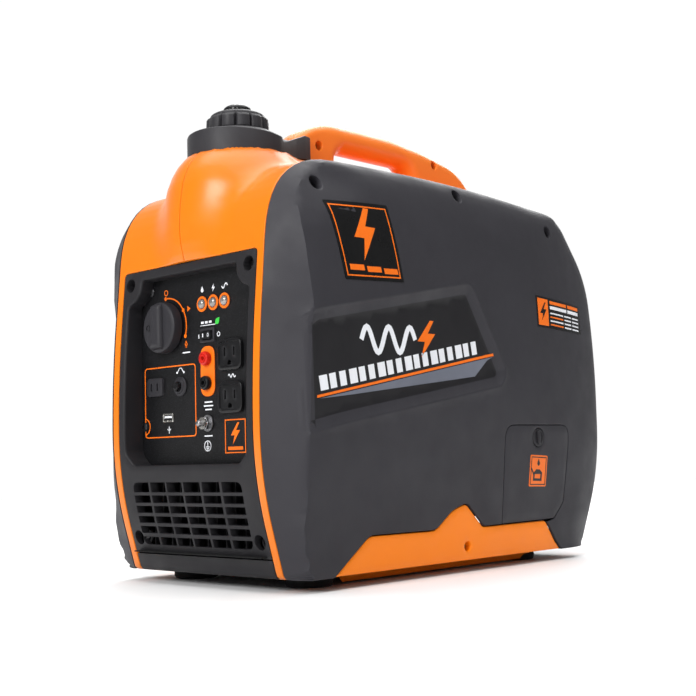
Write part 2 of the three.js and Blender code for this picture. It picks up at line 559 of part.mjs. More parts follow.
const mufflerOutline = outline([[96, 178, 22], [212, 178, 22], [212, 286, 22], [96, 286, 22]], 3);
const mufflerRoom = outline([
  [98.5, 180.5, 19], [209.5, 180.5, 19], [209.5, 283.5, 19], [98.5, 283.5, 19],
], 3);
const muffler = cut(
  join(prismX(mufflerOutline, -60, 72), rod(14, 205, 243, axisY, [EXHAUST.x, 0, EXHAUST.z], 20)),
  prismX(mufflerRoom, -57.5, 69.5),
  rod(11, 190, 250, axisY, [EXHAUST.x, 0, EXHAUST.z], 20),
);
part('muffler', muffler, STEEL, 0.5, 0.8);
const DIPSTICK = [[0, 30], [5, 30], [5, 50.6], [14, 50.6], [14, 62], [9, 66], [0, 66]];
part('oil_dipstick', turned(DIPSTICK, axisX, [0, 60, 84], 20)
  .subtract(box([0, 50.4], [0, 100], [60, 110])), 0xd9b21c, 0.5);

const heatFins = Array.from({ length: 8 }, (_, i) => -66 + 18 * i)
  .map((x) => box([x, x + 6], [-214, -196], [40, 102]));
part('inverter_module', join(box([-72, 72], [-197, -165], [40, 102]), ...heatFins), ALLOY, 0.5, 0.8);
part('engine_mount_front', box([-20, 40], [-28, -4], [27.9, 59.7]), BLACK, 0.9);
part('engine_mount_rear', box([-20, 40], [54, 78], [27.9, 59.7]), BLACK, 0.9);

export default generator;
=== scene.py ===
"""Looks of the inverter generator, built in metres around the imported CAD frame."""
import json
import math

import bpy
import numpy as np
from mathutils import Matrix, Vector
from mathutils.geometry import delaunay_2d_cdt


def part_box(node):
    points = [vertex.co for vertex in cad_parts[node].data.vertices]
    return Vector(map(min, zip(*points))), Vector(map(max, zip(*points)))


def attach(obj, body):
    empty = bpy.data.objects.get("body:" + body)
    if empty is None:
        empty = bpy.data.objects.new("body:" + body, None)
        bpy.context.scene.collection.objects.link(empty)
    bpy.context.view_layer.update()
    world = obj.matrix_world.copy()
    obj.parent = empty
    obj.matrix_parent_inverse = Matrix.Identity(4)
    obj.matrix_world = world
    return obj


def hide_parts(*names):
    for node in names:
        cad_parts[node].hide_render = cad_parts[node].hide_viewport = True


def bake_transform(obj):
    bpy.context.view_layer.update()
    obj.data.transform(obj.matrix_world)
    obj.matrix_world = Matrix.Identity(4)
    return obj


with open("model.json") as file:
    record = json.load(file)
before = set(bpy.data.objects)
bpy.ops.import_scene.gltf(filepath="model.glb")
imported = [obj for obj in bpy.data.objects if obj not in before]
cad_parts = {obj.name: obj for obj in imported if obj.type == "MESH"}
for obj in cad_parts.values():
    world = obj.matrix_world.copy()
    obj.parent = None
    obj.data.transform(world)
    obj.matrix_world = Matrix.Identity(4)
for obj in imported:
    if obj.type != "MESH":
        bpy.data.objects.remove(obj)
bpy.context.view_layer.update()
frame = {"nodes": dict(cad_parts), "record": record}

MM = 0.001
SEAM_X = 105.0        # joint between the centre frame and each side cover, millimetres
WINDOW_X = 96.0       # half width of the front and rear covers
BOTTOM = 11.0         # underside of the casing
WALL = 2.8            # thickness of the covers
CAP_AXIS_Y = (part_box("fuel_cap")[0].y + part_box("fuel_cap")[1].y) / 2 / MM
PANEL_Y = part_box("control_panel")[0].y / MM


# ---- Camera --------------------------------------------------------------------------------
def make_camera():
    azimuth, pitch, roll = (math.radians(a) for a in (43.88, 5.16, -1.51))
    level = Vector((-math.sin(azimuth), math.cos(azimuth), 0))
    right = Vector((math.cos(azimuth), math.sin(azimuth), 0))
    forward = level * math.cos(pitch) + Vector((0, 0, math.sin(pitch)))
    up = -level * math.sin(pitch) + Vector((0, 0, math.cos(pitch)))
    turned_right = right * math.cos(roll) + up * math.sin(roll)
    turned_up = -right * math.sin(roll) + up * math.cos(roll)
    data = bpy.data.cameras.new("camera")
    data.sensor_width = 36
    data.lens = 62.17
    camera = bpy.data.objects.new("camera", data)
    rotation = Matrix((turned_right, turned_up, -forward)).transposed()
    camera.matrix_world = Matrix.Translation((0.85735, -0.92375, 0.11352)) @ rotation.to_4x4()
    bpy.context.scene.collection.objects.link(camera)
    bpy.context.scene.camera = camera


make_camera()
bpy.context.scene.view_settings.view_transform = "Standard"    # keeps the white backdrop white


# ---- Materials -----------------------------------------------------------------------------
def srgb(red, green, blue):
    def linear(c):
        c /= 255
        return c / 12.92 if c <= 0.04045 else ((c + 0.055) / 1.055) ** 2.4
    return (linear(red), linear(green), linear(blue), 1)


def remap(tree, source, start, end):
    """Map Range node that takes the values start = (low, high) to end."""
    node = tree.nodes.new("ShaderNodeMapRange")
    for name, value in zip(("From Min", "From Max", "To Min", "To Max"), (*start, *end)):
        node.inputs[name].default_value = value
    tree.links.new(source, node.inputs["Value"])
    return node.outputs["Result"]


def material(name, color, roughness, metallic=0.0, grain=0.0, grain_size=0.5, mottle=0.06,
             rough_spread=0.08, coat=0.0, wear=None, speckle=None):
    """Moulded or machined surface: colour mottle, uneven roughness, fine grain and worn edges."""
    made = bpy.data.materials.new(name)
    made.use_nodes = True
    tree = made.node_tree
    nodes, links = tree.nodes, tree.links
    shader = nodes["Principled BSDF"]
    shader.inputs["Metallic"].default_value = metallic
    shader.inputs["Specular IOR Level"].default_value = 0.28
    shader.inputs["Coat Weight"].default_value = coat
    shader.inputs["Coat Roughness"].default_value = 0.25
    place = nodes.new("ShaderNodeTexCoord").outputs["Object"]

    def noise(scale, detail=3.0):
        node = nodes.new("ShaderNodeTexNoise")
        node.inputs["Scale"].default_value = scale
        node.inputs["Detail"].default_value = detail
        links.new(place, node.inputs["Vector"])
        return node.outputs["Fac"]

    def mixed(factor, first, second):
        node = nodes.new("ShaderNodeMix")
        node.data_type = "RGBA"
        links.new(factor, node.inputs[0])
        for socket, value in ((6, first), (7, second)):
            if isinstance(value, tuple):
                node.inputs[socket].default_value = value
            else:
                links.new(value, node.inputs[socket])
        return node.outputs[2]

    middle_noise = (0.3, 0.7)
    darker = tuple(c * (1 - mottle) for c in color[:3]) + (1,)
    lighter = tuple(min(1, c * (1 + mottle)) for c in color[:3]) + (1,)
    paint = mixed(remap(tree, noise(14), middle_noise, (0, 1)), darker, lighter)
    if speckle:
        dot_color, dot_spacing = speckle
        dots = nodes.new("ShaderNodeTexVoronoi")
        dots.inputs["Scale"].default_value = 1 / (dot_spacing * MM)
        links.new(place, dots.inputs["Vector"])
        paint = mixed(remap(tree, dots.outputs["Distance"], (0.12, 0.3), (1, 0)), paint, dot_color)
    if wear:
        pointiness = nodes.new("ShaderNodeNewGeometry").outputs["Pointiness"]
        paint = mixed(remap(tree, pointiness, (0.56, 0.66), (0, 0.35)), paint, wear)
    links.new(paint, shader.inputs["Base Color"])
    uneven = remap(tree, noise(35), middle_noise, (roughness - rough_spread, roughness + rough_spread))
    links.new(uneven, shader.inputs["Roughness"])
    if grain:
        bump = nodes.new("ShaderNodeBump")
        bump.inputs["Strength"].default_value = grain
        bump.inputs["Distance"].default_value = 0.0002
        links.new(noise(1 / (grain_size * MM), 2.0), bump.inputs["Height"])
        links.new(bump.outputs["Normal"], shader.inputs["Normal"])
    return made


GREY = material("cover_grey", srgb(46, 45, 50), 0.55, grain=0.35, grain_size=0.9,
                wear=srgb(105, 105, 110))
RECESS_GREY = material("recess_grey", srgb(25, 24, 27), 0.42, grain=0.12, grain_size=0.9)
BEZEL = material("bezel_black", srgb(30, 29, 32), 0.55, grain=0.3, grain_size=0.8,
                 wear=srgb(90, 90, 92))
ORANGE = material("casing_orange", srgb(224, 115, 0), 0.34, mottle=0.02, rough_spread=0.05, coat=0.3,
                  grain=0.04, grain_size=2.5)
# Casing orange made lighter and pinker for the handle: painted light and sheen from the top lamp, not a
# different plastic colour
HANDLE_ORANGE_LIT = material("handle_orange_lit", srgb(238, 126, 38), 0.42, mottle=0.02, rough_spread=0.05,
                         coat=0.15, grain=0.08, grain_size=1.4)
SOFT_BLACK = material("collar_black", srgb(40, 39, 43), 0.5, grain=0.25, grain_size=0.8,
                      wear=srgb(90, 90, 95))
SILL_ORANGE = material("sill_orange", srgb(255, 133, 2), 0.42, mottle=0.02, grain=0.1, grain_size=1.4)
CAP_BLACK = material("cap_black", srgb(46, 45, 48), 0.5, grain=0.25, grain_size=0.8,
                     wear=srgb(90, 90, 95))
GLOSS_BLACK = material("control_black", srgb(17, 17, 19), 0.32, grain=0.05, grain_size=0.8,
                       wear=srgb(60, 60, 62))
PANEL = material("panel_black", srgb(5, 5, 7), 0.5, grain=0.2, grain_size=0.4,
                 speckle=(srgb(52, 52, 58), 1.1))
RUBBER = material("rubber_black", srgb(24, 24, 25), 0.8, grain=0.4, grain_size=1.2)
PRINT_WHITE = material("print_white", srgb(228, 230, 235), 0.45, mottle=0.03)
PRINT_SILVER = material("print_silver", srgb(112, 116, 128), 0.4, mottle=0.12, metallic=0.2)
PRINT_ORANGE = material("print_orange", srgb(240, 112, 18), 0.4, mottle=0.03)
PRINT_BLACK = material("print_black", srgb(10, 10, 11), 0.3, mottle=0.03)
PRINT_GREEN = material("print_green", srgb(60, 190, 70), 0.4, mottle=0.03)
RED = material("jack_red", srgb(196, 34, 24), 0.3, mottle=0.04)
ALLOY = material("alloy", srgb(190, 192, 195), 0.45, metallic=0.9, grain=0.3, grain_size=1.5)
STEEL = material("steel", srgb(150, 150, 152), 0.38, metallic=0.95, mottle=0.1, grain=0.15, grain_size=0.6)
NICKEL = material("nickel", srgb(205, 203, 198), 0.22, metallic=1.0, mottle=0.05)
COPPER = material("winding", srgb(176, 98, 52), 0.35, metallic=0.8, grain=0.5, grain_size=1.0)
YELLOW = material("dipstick_yellow", srgb(215, 170, 30), 0.4)
ROPE = material("rope_white", srgb(205, 200, 185), 0.8, grain=0.8, grain_size=0.8)
LENS = material("lamp_lens", srgb(150, 146, 142), 0.12, metallic=0.55, mottle=0.3, coat=0.8)
STEEL_DARK = material("screw_black", srgb(60, 60, 62), 0.35, metallic=0.9, mottle=0.1)
# Near-black painted shade: stands for the shadow inside the casing behind the front grille and rear louvres
PAINTED_SHADE_BLACK = material("intake_shadow", srgb(14, 14, 15), 0.9)

SLOT = {
    "cover_grey": GREY, "casing_orange": ORANGE, "bezel_black": BEZEL, "control_black": GLOSS_BLACK,
    "panel_black": PANEL, "jack_orange": PRINT_ORANGE, "jack_red": RED, "lamp_lens": LENS,
    "rubber_black": RUBBER, "alloy": ALLOY, "steel": STEEL, "nickel": NICKEL, "winding": COPPER,
    "dipstick_yellow": YELLOW, "boot_grey": RUBBER, "rope_white": ROPE,
}
for row in frame["record"]["subparts"]:
    cad = frame["nodes"][row["node"]]
    cad.data.materials.clear()
    cad.data.materials.append(SLOT[row["material_slot"]])


# ---- Outlines and shells -------------------------------------------------------------------
def rounded(corners, steps=7):
    """Corners (a, b, rounding) as a smooth closed outline."""
    points = []
    for i, (a, b, rounding) in enumerate(corners):
        corner = np.array((a, b), float)
        if not rounding:
            points.append(corner)
            continue
        before, after = (np.array(corners[j % len(corners)][:2], float) for j in (i - 1, i + 1))
        start, end = (corner + (p - corner) / np.linalg.norm(p - corner) * rounding for p in (before, after))
        for t in np.linspace(0, 1, steps):
            points.append((1 - t) ** 2 * start + 2 * t * (1 - t) * corner + t ** 2 * end)
    return np.array(points)


def box_loop(a0, a1, b0, b1, rounding, steps=6):
    return rounded([(a0, b0, rounding), (a1, b0, rounding), (a1, b1, rounding), (a0, b1, rounding)], steps)


def circle(a, b, radius, count=32, start=0.0, end=2 * math.pi):
    angles = np.linspace(start, end, count, endpoint=abs(end - start) < 6.2)
    return np.stack((a + radius * np.cos(angles), b + radius * np.sin(angles)), 1)


def rectangle(a, b, width, height, rounding=0.0, steps=5):
    w, h = width / 2, height / 2
    return box_loop(a - w, a + w, b - h, b + h, rounding, steps)


def dense(line, spacing, closed=True):
    """The same line with no segment longer than spacing."""
    ends = np.roll(line, -1, 0) if closed else line[1:]
    points = []
    for start, end in zip(line, ends):
        count = max(1, math.ceil(np.linalg.norm(end - start) / spacing))
        points += [start + (end - start) * k / count for k in range(count)]
    if not closed:
        points.append(line[-1])
    return np.array(points)


def segments(line, closed):
    return (line, np.roll(line, -1, 0)) if closed else (line[:-1], line[1:])


def distance(points, line, closed=True):
    best = np.full(len(points), 1e9)
    for start, end in zip(*segments(line, closed)):
        along = end - start
        t = np.clip((points - start) @ along / max(along @ along, 1e-12), 0, 1)
        best = np.minimum(best, np.linalg.norm(points - start - t[:, None] * along, axis=1))
    return best


def inside(points, loop):
    a, b = points.T
    odd = np.zeros(len(points), bool)
    for (a0, b0), (a1, b1) in zip(*segments(loop, True)):
        if b0 != b1:
            odd ^= ((b0 > b) != (b1 > b)) & (a < (a1 - a0) * (b - b0) / (b1 - b0) + a0)
    return odd


def signed(points, loop):
    """Distance to a loop, negative inside it."""
    gap = distance(points, loop)
    return np.where(inside(points, loop), -gap, gap)


def offset(loop, amount):
    """The loop moved inwards by amount, or outwards where it is negative."""
    before, after = np.roll(loop, 1, 0), np.roll(loop, -1, 0)
    area = np.sum(loop[:, 0] * after[:, 1] - after[:, 0] * loop[:, 1])
    side = 1 if area > 0 else -1

    def normal(direction):
        unit = direction / np.maximum(np.linalg.norm(direction, axis=1), 1e-9)[:, None]
        return np.stack((-unit[:, 1], unit[:, 0]), 1) * side
    first, second = normal(loop - before), normal(after - loop)
    middle = first + second
    middle /= np.maximum(np.linalg.norm(middle, axis=1), 1e-6)[:, None]
    stretch = 1 / np.clip(np.sum(middle * first, axis=1), 0.55, 1)
    return loop + middle * (amount * stretch)[:, None]


def roll_off(points, loops, radius):
    """How far a rounded edge of this radius has dropped at each point."""
    gap = np.minimum(radius, np.min([distance(points, loop) for loop in loops], axis=0))
    return radius - np.sqrt(np.maximum(radius ** 2 - (radius - gap) ** 2, 0))


def finish_mesh(name, vertices, faces, surfaces, indices=None, sharp=35):
    mesh = bpy.data.meshes.new(name)
    mesh.from_pydata([tuple(v * MM for v in p) for p in vertices], [], faces)
    surfaces = surfaces if isinstance(surfaces, (list, tuple)) else [surfaces]
    for surface in surfaces:
        mesh.materials.append(surface)
    if indices is not None:
        mesh.polygons.foreach_set("material_index", indices)
    mesh.validate()
    mesh.polygons.foreach_set("use_smooth", [True] * len(mesh.polygons))
    mesh.set_sharp_from_angle(angle=math.radians(sharp))
    piece = bpy.data.objects.new(name, mesh)
    bpy.context.scene.collection.objects.link(piece)
    return piece


def skin(name, loops, lift, back, surfaces, step=6.0, lines=(), fine=None, rows=(), region=None):
    """Closed shell over a flat region. loops[0] is its outline, the rest are holes; lift and back
    place the outer and inner surface. rows are edge offsets that get their own line of points, fine is
    a (loop, step) with a closer grid, and faces inside the loop region take the second surface."""
    drawn = [(loop, True) for loop in loops] + [(np.array(line, float), closed) for line, closed in lines]
    for depth in rows:
        drawn += [(offset(loop, depth if i == 0 else -depth), True) for i, loop in enumerate(loops)]
    points, edges = [], []
    for line, closed in drawn:
        first = len(points)
        points += [tuple(p) for p in line]
        edges += [(first + i, first + i + 1) for i in range(len(line) - 1)]
        if closed:
            edges.append((len(points) - 1, first))
    low, high = loops[0].min(0), loops[0].max(0)

    def grid(spacing):
        a, b = (np.arange(low[k] + spacing / 2, high[k], spacing) for k in (0, 1))
        return np.stack(np.meshgrid(a, b), -1).reshape(-1, 2)

    def clear(candidates, spacing):
        kept = candidates[inside(candidates, loops[0])]
        for line, closed in drawn:
            if len(kept):
                kept = kept[distance(kept, line, closed) > 0.5 * spacing]
        for hole in loops[1:]:
            kept = kept[~inside(kept, hole)]
        return kept
    coarse = grid(step)
    if fine is not None:
        coarse = coarse[~inside(coarse, fine[0])]
        close = grid(fine[1])
        points += [tuple(p) for p in clear(close[inside(close, fine[0])], fine[1])]
    points += [tuple(p) for p in clear(coarse, step)]
    flat, _, faces, *_ = delaunay_2d_cdt([Vector(p) for p in points], edges, [], 0, 1e-5)
    flat = np.array([tuple(p) for p in flat])
    faces = np.array(faces)
    middles = flat[faces].mean(1)
    kept = inside(middles, loops[0])
    for hole in loops[1:]:
        kept &= ~inside(middles, hole)
    faces, middles = faces[kept], middles[kept]
    used, inverse = np.unique(faces, return_inverse=True)
    flat, faces = flat[used], inverse.reshape(-1, 3)
    top, under = lift(flat), back(flat)
    count = len(flat)
    normals = np.cross(top[faces[:, 1]] - top[faces[:, 0]], top[faces[:, 2]] - top[faces[:, 0]])
    if np.sum(normals * (top - under)[faces[:, 0]]) < 0:
        faces = faces[:, ::-1]
    sides = {}
    for face in faces.tolist():
        for i in range(3):
            edge = (face[i], face[(i + 1) % 3])
            if (edge[1], edge[0]) in sides:
                del sides[(edge[1], edge[0])]
            else:
                sides[edge] = True
    closed_with = [(b, a, a + count, b + count) for a, b in sides]
    everything = faces.tolist() + (faces[:, ::-1] + count).tolist() + closed_with
    indices = None
    if region is not None:
        second = inside(middles, region).astype(int)
        indices = second.tolist() + [0] * (len(everything) - len(second))
    return finish_mesh(name, np.vstack((top, under)), everything, surfaces, indices)


def lathe(name, profile, origin, axis, surface, count=48, sharp=30, lobes=None):
    """Turned piece: profile of (radius, height) points along a unit axis; lobes changes its radius."""
    axis = Vector(axis)
    side = axis.orthogonal().normalized()
    other = axis.cross(side)
    vertices, faces = [], []
    for radius, height in profile:
        for k in range(count):
            angle = 2 * math.pi * k / count
            reach = radius if lobes is None else lobes(radius, height, angle)
            spoke = side * math.cos(angle) + other * math.sin(angle)
            vertices.append(Vector(origin) + axis * height + spoke * reach)
    rows = len(profile)
    for row in range(rows - 1):
        for k in range(count):
            a, b = row * count + k, row * count + (k + 1) % count
            faces.append((a, b, b + count, a + count))
    faces.append(tuple(range(count))[::-1])
    faces.append(tuple(range((rows - 1) * count, rows * count)))
    return finish_mesh(name, vertices, faces, surface, sharp=sharp)


def keep(piece, body, slot, *nodes):
    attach(piece, body)
    if nodes:
        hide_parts(*nodes)
    return piece


def shell(name, loops, lift, back, surface, step, body, slot, *nodes, **more):
    return keep(skin(name, loops, lift, back, surface, step, **more), body, slot, *nodes)


def turned(name, profile, origin, axis, surface, count, body, slot, *nodes, **more):
    return keep(lathe(name, profile, origin, axis, surface, count, **more), body, slot, *nodes)


def mirrored(piece, name):
    """A copy on the other side of the centre plane."""
    mesh = piece.data.copy()
    mesh.transform(Matrix.Scale(-1, 4, (1, 0, 0)))
    mesh.flip_normals()
    copy = bpy.data.objects.new(name, mesh)
    bpy.context.scene.collection.objects.link(copy)
    return copy


def keep_pair(piece, left_name, slot, right_node, left_node):
    """A piece of the casing on the right side, and its mirror image on the left."""
    keep(piece, "casing", slot, right_node)
    keep(mirrored(piece, left_name), "casing", slot, left_node)


def across_x(x):
    """Places (y, z) points in the plane at x."""
    return lambda points: np.column_stack((np.full(len(points), x), points))


def across_y(y, points):
    return np.stack((points[:, 0], y, points[:, 1]), 1)


# ---- Casing outline ------------------------------------------------------------------------
casing = rounded([(-226, BOTTOM, 5), (-251, 98, 48), (-250, 200, 48), (-233.5, 380, 75), (0, 385, 90),
                  (182, 374, 22), (238, 306, 34), (250.5, 215, 48), (249, 92, 48), (208, BOTTOM, 5)], 12)
FRONT_END = np.argmin(np.abs(casing[:, 0] + 190) + (casing[:, 1] < 300) * 999)
TOP_END = np.argmin(np.abs(casing[:, 0] - 182) + (casing[:, 1] < 300) * 999)
front_line, top_line = casing[4:FRONT_END + 1], casing[FRONT_END:TOP_END + 1]
rear_line = casing[TOP_END:-6]


def front_y(z):
    return np.interp(z, casing[:FRONT_END, 1], casing[:FRONT_END, 0])


def rear_y(z):
    line = casing[TOP_END:][::-1]
    return np.interp(z, line[:, 1], line[:, 0])


# ---- Side covers ---------------------------------------------------------------------------
# Height, width of the front bevel there, and how far out its crease stands.
CREASE = np.array([(11, 7, 129), (38, 7.5, 132), (56, 10.5, 134), (74, 17, 136), (134, 25, 139),
                   (245, 27, 140.5), (275, 20, 139.5), (293, 17.5, 137.5), (311, 14, 134.5),
                   (326, 12, 130.5), (338, 10, 126.5), (350, 8.5, 122.5), (362, 7.5, 119), (380, 7, 117)])
RECESS_FLOOR = 139.4
RECESS = dense(rounded([(-229, 229.5, 3), (-216, 238, 5), (-7, 277, 9), (44.5, 193, 8), (37, 180, 6),
                        (-185, 143, 20), (-228, 134, 3)], 6), 6)
SILL_TOP = [(138, 21.5, 2), (121.5, 41, 2)]
SILL_FRONT = [(14.7, 43, 3), (-13.6, 67, 6), (-35, 60.5, 6), (-58, 43.6, 5), (-148, 44.4, 6),
              (-190, BOTTOM, 0)]
DOOR = [(133, 43.6, 1.5), (149, 60, 4), (157, 141, 15), (43, 141, 15)]
DOOR_KNOB = (99.4, 128.0)
COVER_SCREWS = [(-197, 352.5), (-5.5, 366), (143, 347)]
COVER_POCKET = 6.6    # radius of a screw pocket
SILL_SCREW = (-8.3, 25.0)


def soft_min(first, second, blend):
    near = np.maximum(blend - np.abs(first - second), 0) / blend
    return np.minimum(first, second) - near ** 2 * blend / 4


def cover_x(points):
    """How far out the side cover's main surface stands over a (y, z) point."""
    y, z = points.T
    width, crest = (np.interp(z, CREASE[:, 0], CREASE[:, k]) for k in (1, 2))
    front = distance(points, front_line, False)
    edge = SEAM_X + 0.7
    bevel = edge + (crest - SEAM_X) * np.minimum(front / width, 1) + 0.22 * np.maximum(front - width, 0)
    surface = 143.9 - 1.2 * ((y + 20) / 250) ** 2
    surface = soft_min(surface, 128.4 + 0.095 * z, 3)
    for line, bulge, reach in ((top_line, 25, 38), (rear_line, 28, 75)):
        away = distance(points, line, False)
        shoulder = edge + 14 * (1 - np.exp(-away / 4)) + bulge * (1 - np.exp(-away / reach))
        surface = soft_min(surface, shoulder, 2)
    return soft_min(surface, bevel, 2.2)


def recessed_x(points):
    """The same with the shallow label recess and its raised rim."""
    surface = cover_x(points)
    depth = -signed(points, RECESS)
    share = np.interp(depth, [0, 0.9, 1.3, 8, 9], [0, 0.12, 0.25, 0.85, 1])
    rim = np.interp(-depth, [-0.1, 0.8, 2, 3.6], [0, 0.5, 0.5, 0]) * (surface > 134)
    return surface - np.maximum(surface - RECESS_FLOOR, 0) * share + rim


def side_lift(depth_of, loops, radius, sunk=0.0):
    def lift(points):
        x = depth_of(points) - sunk - roll_off(points, loops, radius)
        return np.stack((np.maximum(x, SEAM_X + 0.5), points[:, 0], points[:, 1]), 1)
    return lift


def side_back(depth_of, wall, tuck=0.0):
    """Inner surface; the outline tucks under so that the joint reads as a groove."""
    def back(points):
        x = depth_of(points) - wall
        near = distance(points, casing) < 0.05
        moved = points.copy()
        moved[near] += (np.array((-10, 200)) - points[near]) * tuck
        return np.column_stack((np.where(near, SEAM_X + 0.1, np.maximum(x, SEAM_X + 0.3)), moved))
    return back


def pocket_back(depth_of, wall, pockets, depth):
    plain = side_back(depth_of, wall, 0.004)

    def back(points):
        placed = plain(points)
        for a, b, radius in pockets:
            edge = np.abs(np.hypot(points[:, 0] - a, points[:, 1] - b) - radius) < 0.05
            placed[edge, 0] = depth_of(points[edge]) - depth
        return placed
    return back


def screw_mesh():
    """Pan head with a cross recess, standing on its washer, facing +Z."""
    cross = np.array([(-2.4, -0.5), (-0.5, -0.5), (-0.5, -2.4), (0.5, -2.4), (0.5, -0.5), (2.4, -0.5),
                      (2.4, 0.5), (0.5, 0.5), (0.5, 2.4), (-0.5, 2.4), (-0.5, 0.5), (-2.4, 0.5)])
    edge = circle(0, 0, 4.2)

    def lift(points):
        dome = 2.4 - 0.07 * np.sum(points ** 2, axis=1)
        sunk = np.interp(-signed(points, cross), [0, 0.3], [0, 1.4])
        return np.column_stack((points, dome - sunk))
    made = skin("screw_head", [edge], lift, lambda p: np.column_stack((p, np.zeros(len(p)))), STEEL_DARK,
                1.0, lines=[(dense(cross, 0.6), True), (dense(offset(cross, 0.3), 0.6), True)])
    mesh = made.data
    bpy.data.objects.remove(made)
    return mesh


SCREW = screw_mesh()
screw_count = 0


def screw(at, direction):
    """One screw head on the casing, with its flat underside at a point in millimetres."""
    global screw_count
    screw_count += 1
    piece = bpy.data.objects.new(f"screw_{screw_count:02d}", SCREW)
    turn = Vector(direction).to_track_quat("Z", "Y").to_matrix().to_4x4()
    spin = Matrix.Rotation(0.6 * screw_count, 4, "Z")
    piece.matrix_world = Matrix.Translation(Vector(at) * MM) @ turn @ spin
    bpy.context.scene.collection.objects.link(piece)
    keep(piece, "casing", "steel")


def pocket_floor(name, at, direction, radius, surface, slot):
    """Floor of a screw pocket in the casing, with its screw."""
    profile = [(radius + 0.8, -2), (radius + 0.8, 0), (4.6, 0), (4.4, -0.4)]
    turned(name, profile, at, direction, surface, 24, "casing", slot)
    screw(at, direction)


def make_side_covers():
    bottom = [(150, BOTTOM, 0)] + SILL_TOP
    right_edge = rounded(bottom + DOOR + [(43, 43.2, 1)] + SILL_FRONT, 6)
    right_outline = dense(np.vstack((casing, right_edge)), 6)
    left_outline = dense(np.vstack((casing, rounded(bottom + SILL_FRONT, 6))), 6)
    screws = [circle(y, z, COVER_POCKET, 28) for y, z in COVER_SCREWS]
    crease = [(front_y(z) + w, z) for z, w, _ in CREASE if 20 < z < 355]
    lines = [(dense(np.array(crease), 6, False), False)]
    lines += [(offset(RECESS, d), True) for d in (-3.6, -2, -0.8, 0, 0.9, 1.3, 8, 9)]
    lines += [(dense(offset(casing, d), 6), True) for d in (1, 2.5, 5, 9, 15, 24)]
    front_zone = np.array([(-260, 0), (-196, 0), (-196, 400), (-260, 400)], float)
    common = dict(lines=lines, rows=(0.25, 0.8, 1.6), region=offset(RECESS, 9.2), fine=(front_zone, 3.4))
    plain_back = pocket_back(recessed_x, WALL, [(y, z, COVER_POCKET) for y, z in COVER_SCREWS], 13)
    shell("cover_right_shell", [right_outline] + screws,
          side_lift(recessed_x, [right_outline[len(casing):]] + screws, 0.8), plain_back,
          [GREY, RECESS_GREY], 7, "casing", "cover_grey", "cover_right", **common)

    low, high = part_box("recoil_grip")
    grip = ((low.y + high.y) / 2 / MM, (low.z + high.z) / 2 / MM)
    pocket = dense(rectangle(*grip, 71, 35, 8), 5)

    def left_back(points):
        placed = plain_back(points)
        placed[distance(points, pocket) < 0.05, 0] = 124.5
        return placed
    left = skin("cover_left_blank", [left_outline] + screws + [pocket],
                side_lift(recessed_x, [left_outline[len(casing):], pocket] + screws, 0.8), left_back,
                [GREY, RECESS_GREY], 7, **common)
    keep(mirrored(left, "cover_left_shell"), "casing", "cover_grey", "cover_left")
    bpy.data.objects.remove(left)
    shell("grip_well", [dense(rectangle(*grip, 72.5, 36.5, 8), 5), circle(*grip, 3.4, 20)],
          across_x(-124.4), across_x(-122.5), BEZEL, 8, "casing", "bezel_black")
    eyelet = [(2.4, 0), (2.4, 2.2), (3.2, 3.2), (4.6, 3.2), (5.4, 2.2), (5.4, 0)]
    turned("rope_eyelet", eyelet, (-124.3, *grip), (-1, 0, 0), STEEL, 32, "casing", "steel")

    for y, z in COVER_SCREWS:
        x = float(cover_x(np.array([(y, z)]))[0]) - 12
        for sign, side in ((1, "right"), (-1, "left")):
            pocket_floor(f"pocket_{side}_{round(y)}", (sign * x, y, z), (sign, 0, 0), COVER_POCKET, GREY,
                         "cover_grey")


def make_oil_door():
    loop = dense(offset(rounded(DOOR + [(43, 43.0, 1.5)], 6), 0.6), 5)
    knob_hole = circle(*DOOR_KNOB, 9.9, 36)
    shell("oil_door_panel", [loop, knob_hole], side_lift(cover_x, [loop, knob_hole], 0.7),
          side_back(cover_x, WALL), GREY, 7, "oil_door", "cover_grey", "oil_door", rows=(0.2, 0.7))


def make_sills():
    loop = dense(offset(rounded([(149, BOTTOM, 0)] + SILL_TOP + [(118, 43.4, 2)] + SILL_FRONT, 6), 1.0), 5)
    loop[:, 1] = np.maximum(loop[:, 1], BOTTOM + 0.2)
    hole = circle(*SILL_SCREW, 4.6, 28)
    sill = skin("sill_right_rail", [loop, hole], side_lift(cover_x, [loop, hole], 1.4, sunk=1.3),
                pocket_back(cover_x, 6, [(*SILL_SCREW, 4.6)], 12), SILL_ORANGE, 6, rows=(0.4, 1.4))
    keep_pair(sill, "sill_left_rail", "casing_orange", "sill_right", "sill_left")
    strip = dense(np.array([(12, 36), (140, 36), (140, 46), (12, 46)], float), 8)
    shell("sill_liner", [strip], side_lift(cover_x, [strip], 0.3, sunk=7), side_back(cover_x, 8.4), BEZEL, 8,
          "casing", "cover_grey", "cover_right")
    x = float(cover_x(np.array([SILL_SCREW]))[0]) - 9
    for sign, side in ((1, "right"), (-1, "left")):
        pocket_floor(f"pocket_sill_{side}", (sign * x, *SILL_SCREW), (sign, 0, 0), 4.4, SILL_ORANGE,
                     "casing_orange")


make_side_covers()
make_oil_door()
make_sills()


# ---- Centre frame, hood and handle ---------------------------------------------------------
WINDOW_TOP = 294.6
REAR_WINDOW_TOP = 296.0
band = np.vstack(((0, BOTTOM), casing, (0, BOTTOM)))
band_s = np.concatenate(([0], np.cumsum(np.linalg.norm(np.diff(band, axis=0), axis=1))))
# Height and radius of the bell under the filler.
HOOD = np.array([(280, 50), (290, 60), (300, 68), (311, 71.5), (325, 73), (343, 72), (361, 69.5), (368, 68),
                 (380, 63.5), (389, 58.5), (396, 52.5), (399, 49.5), (403, 47), (410, 44)])


def band_point(s):
    return np.stack([np.interp(s, band_s, band[:, k]) for k in (0, 1)], 1)


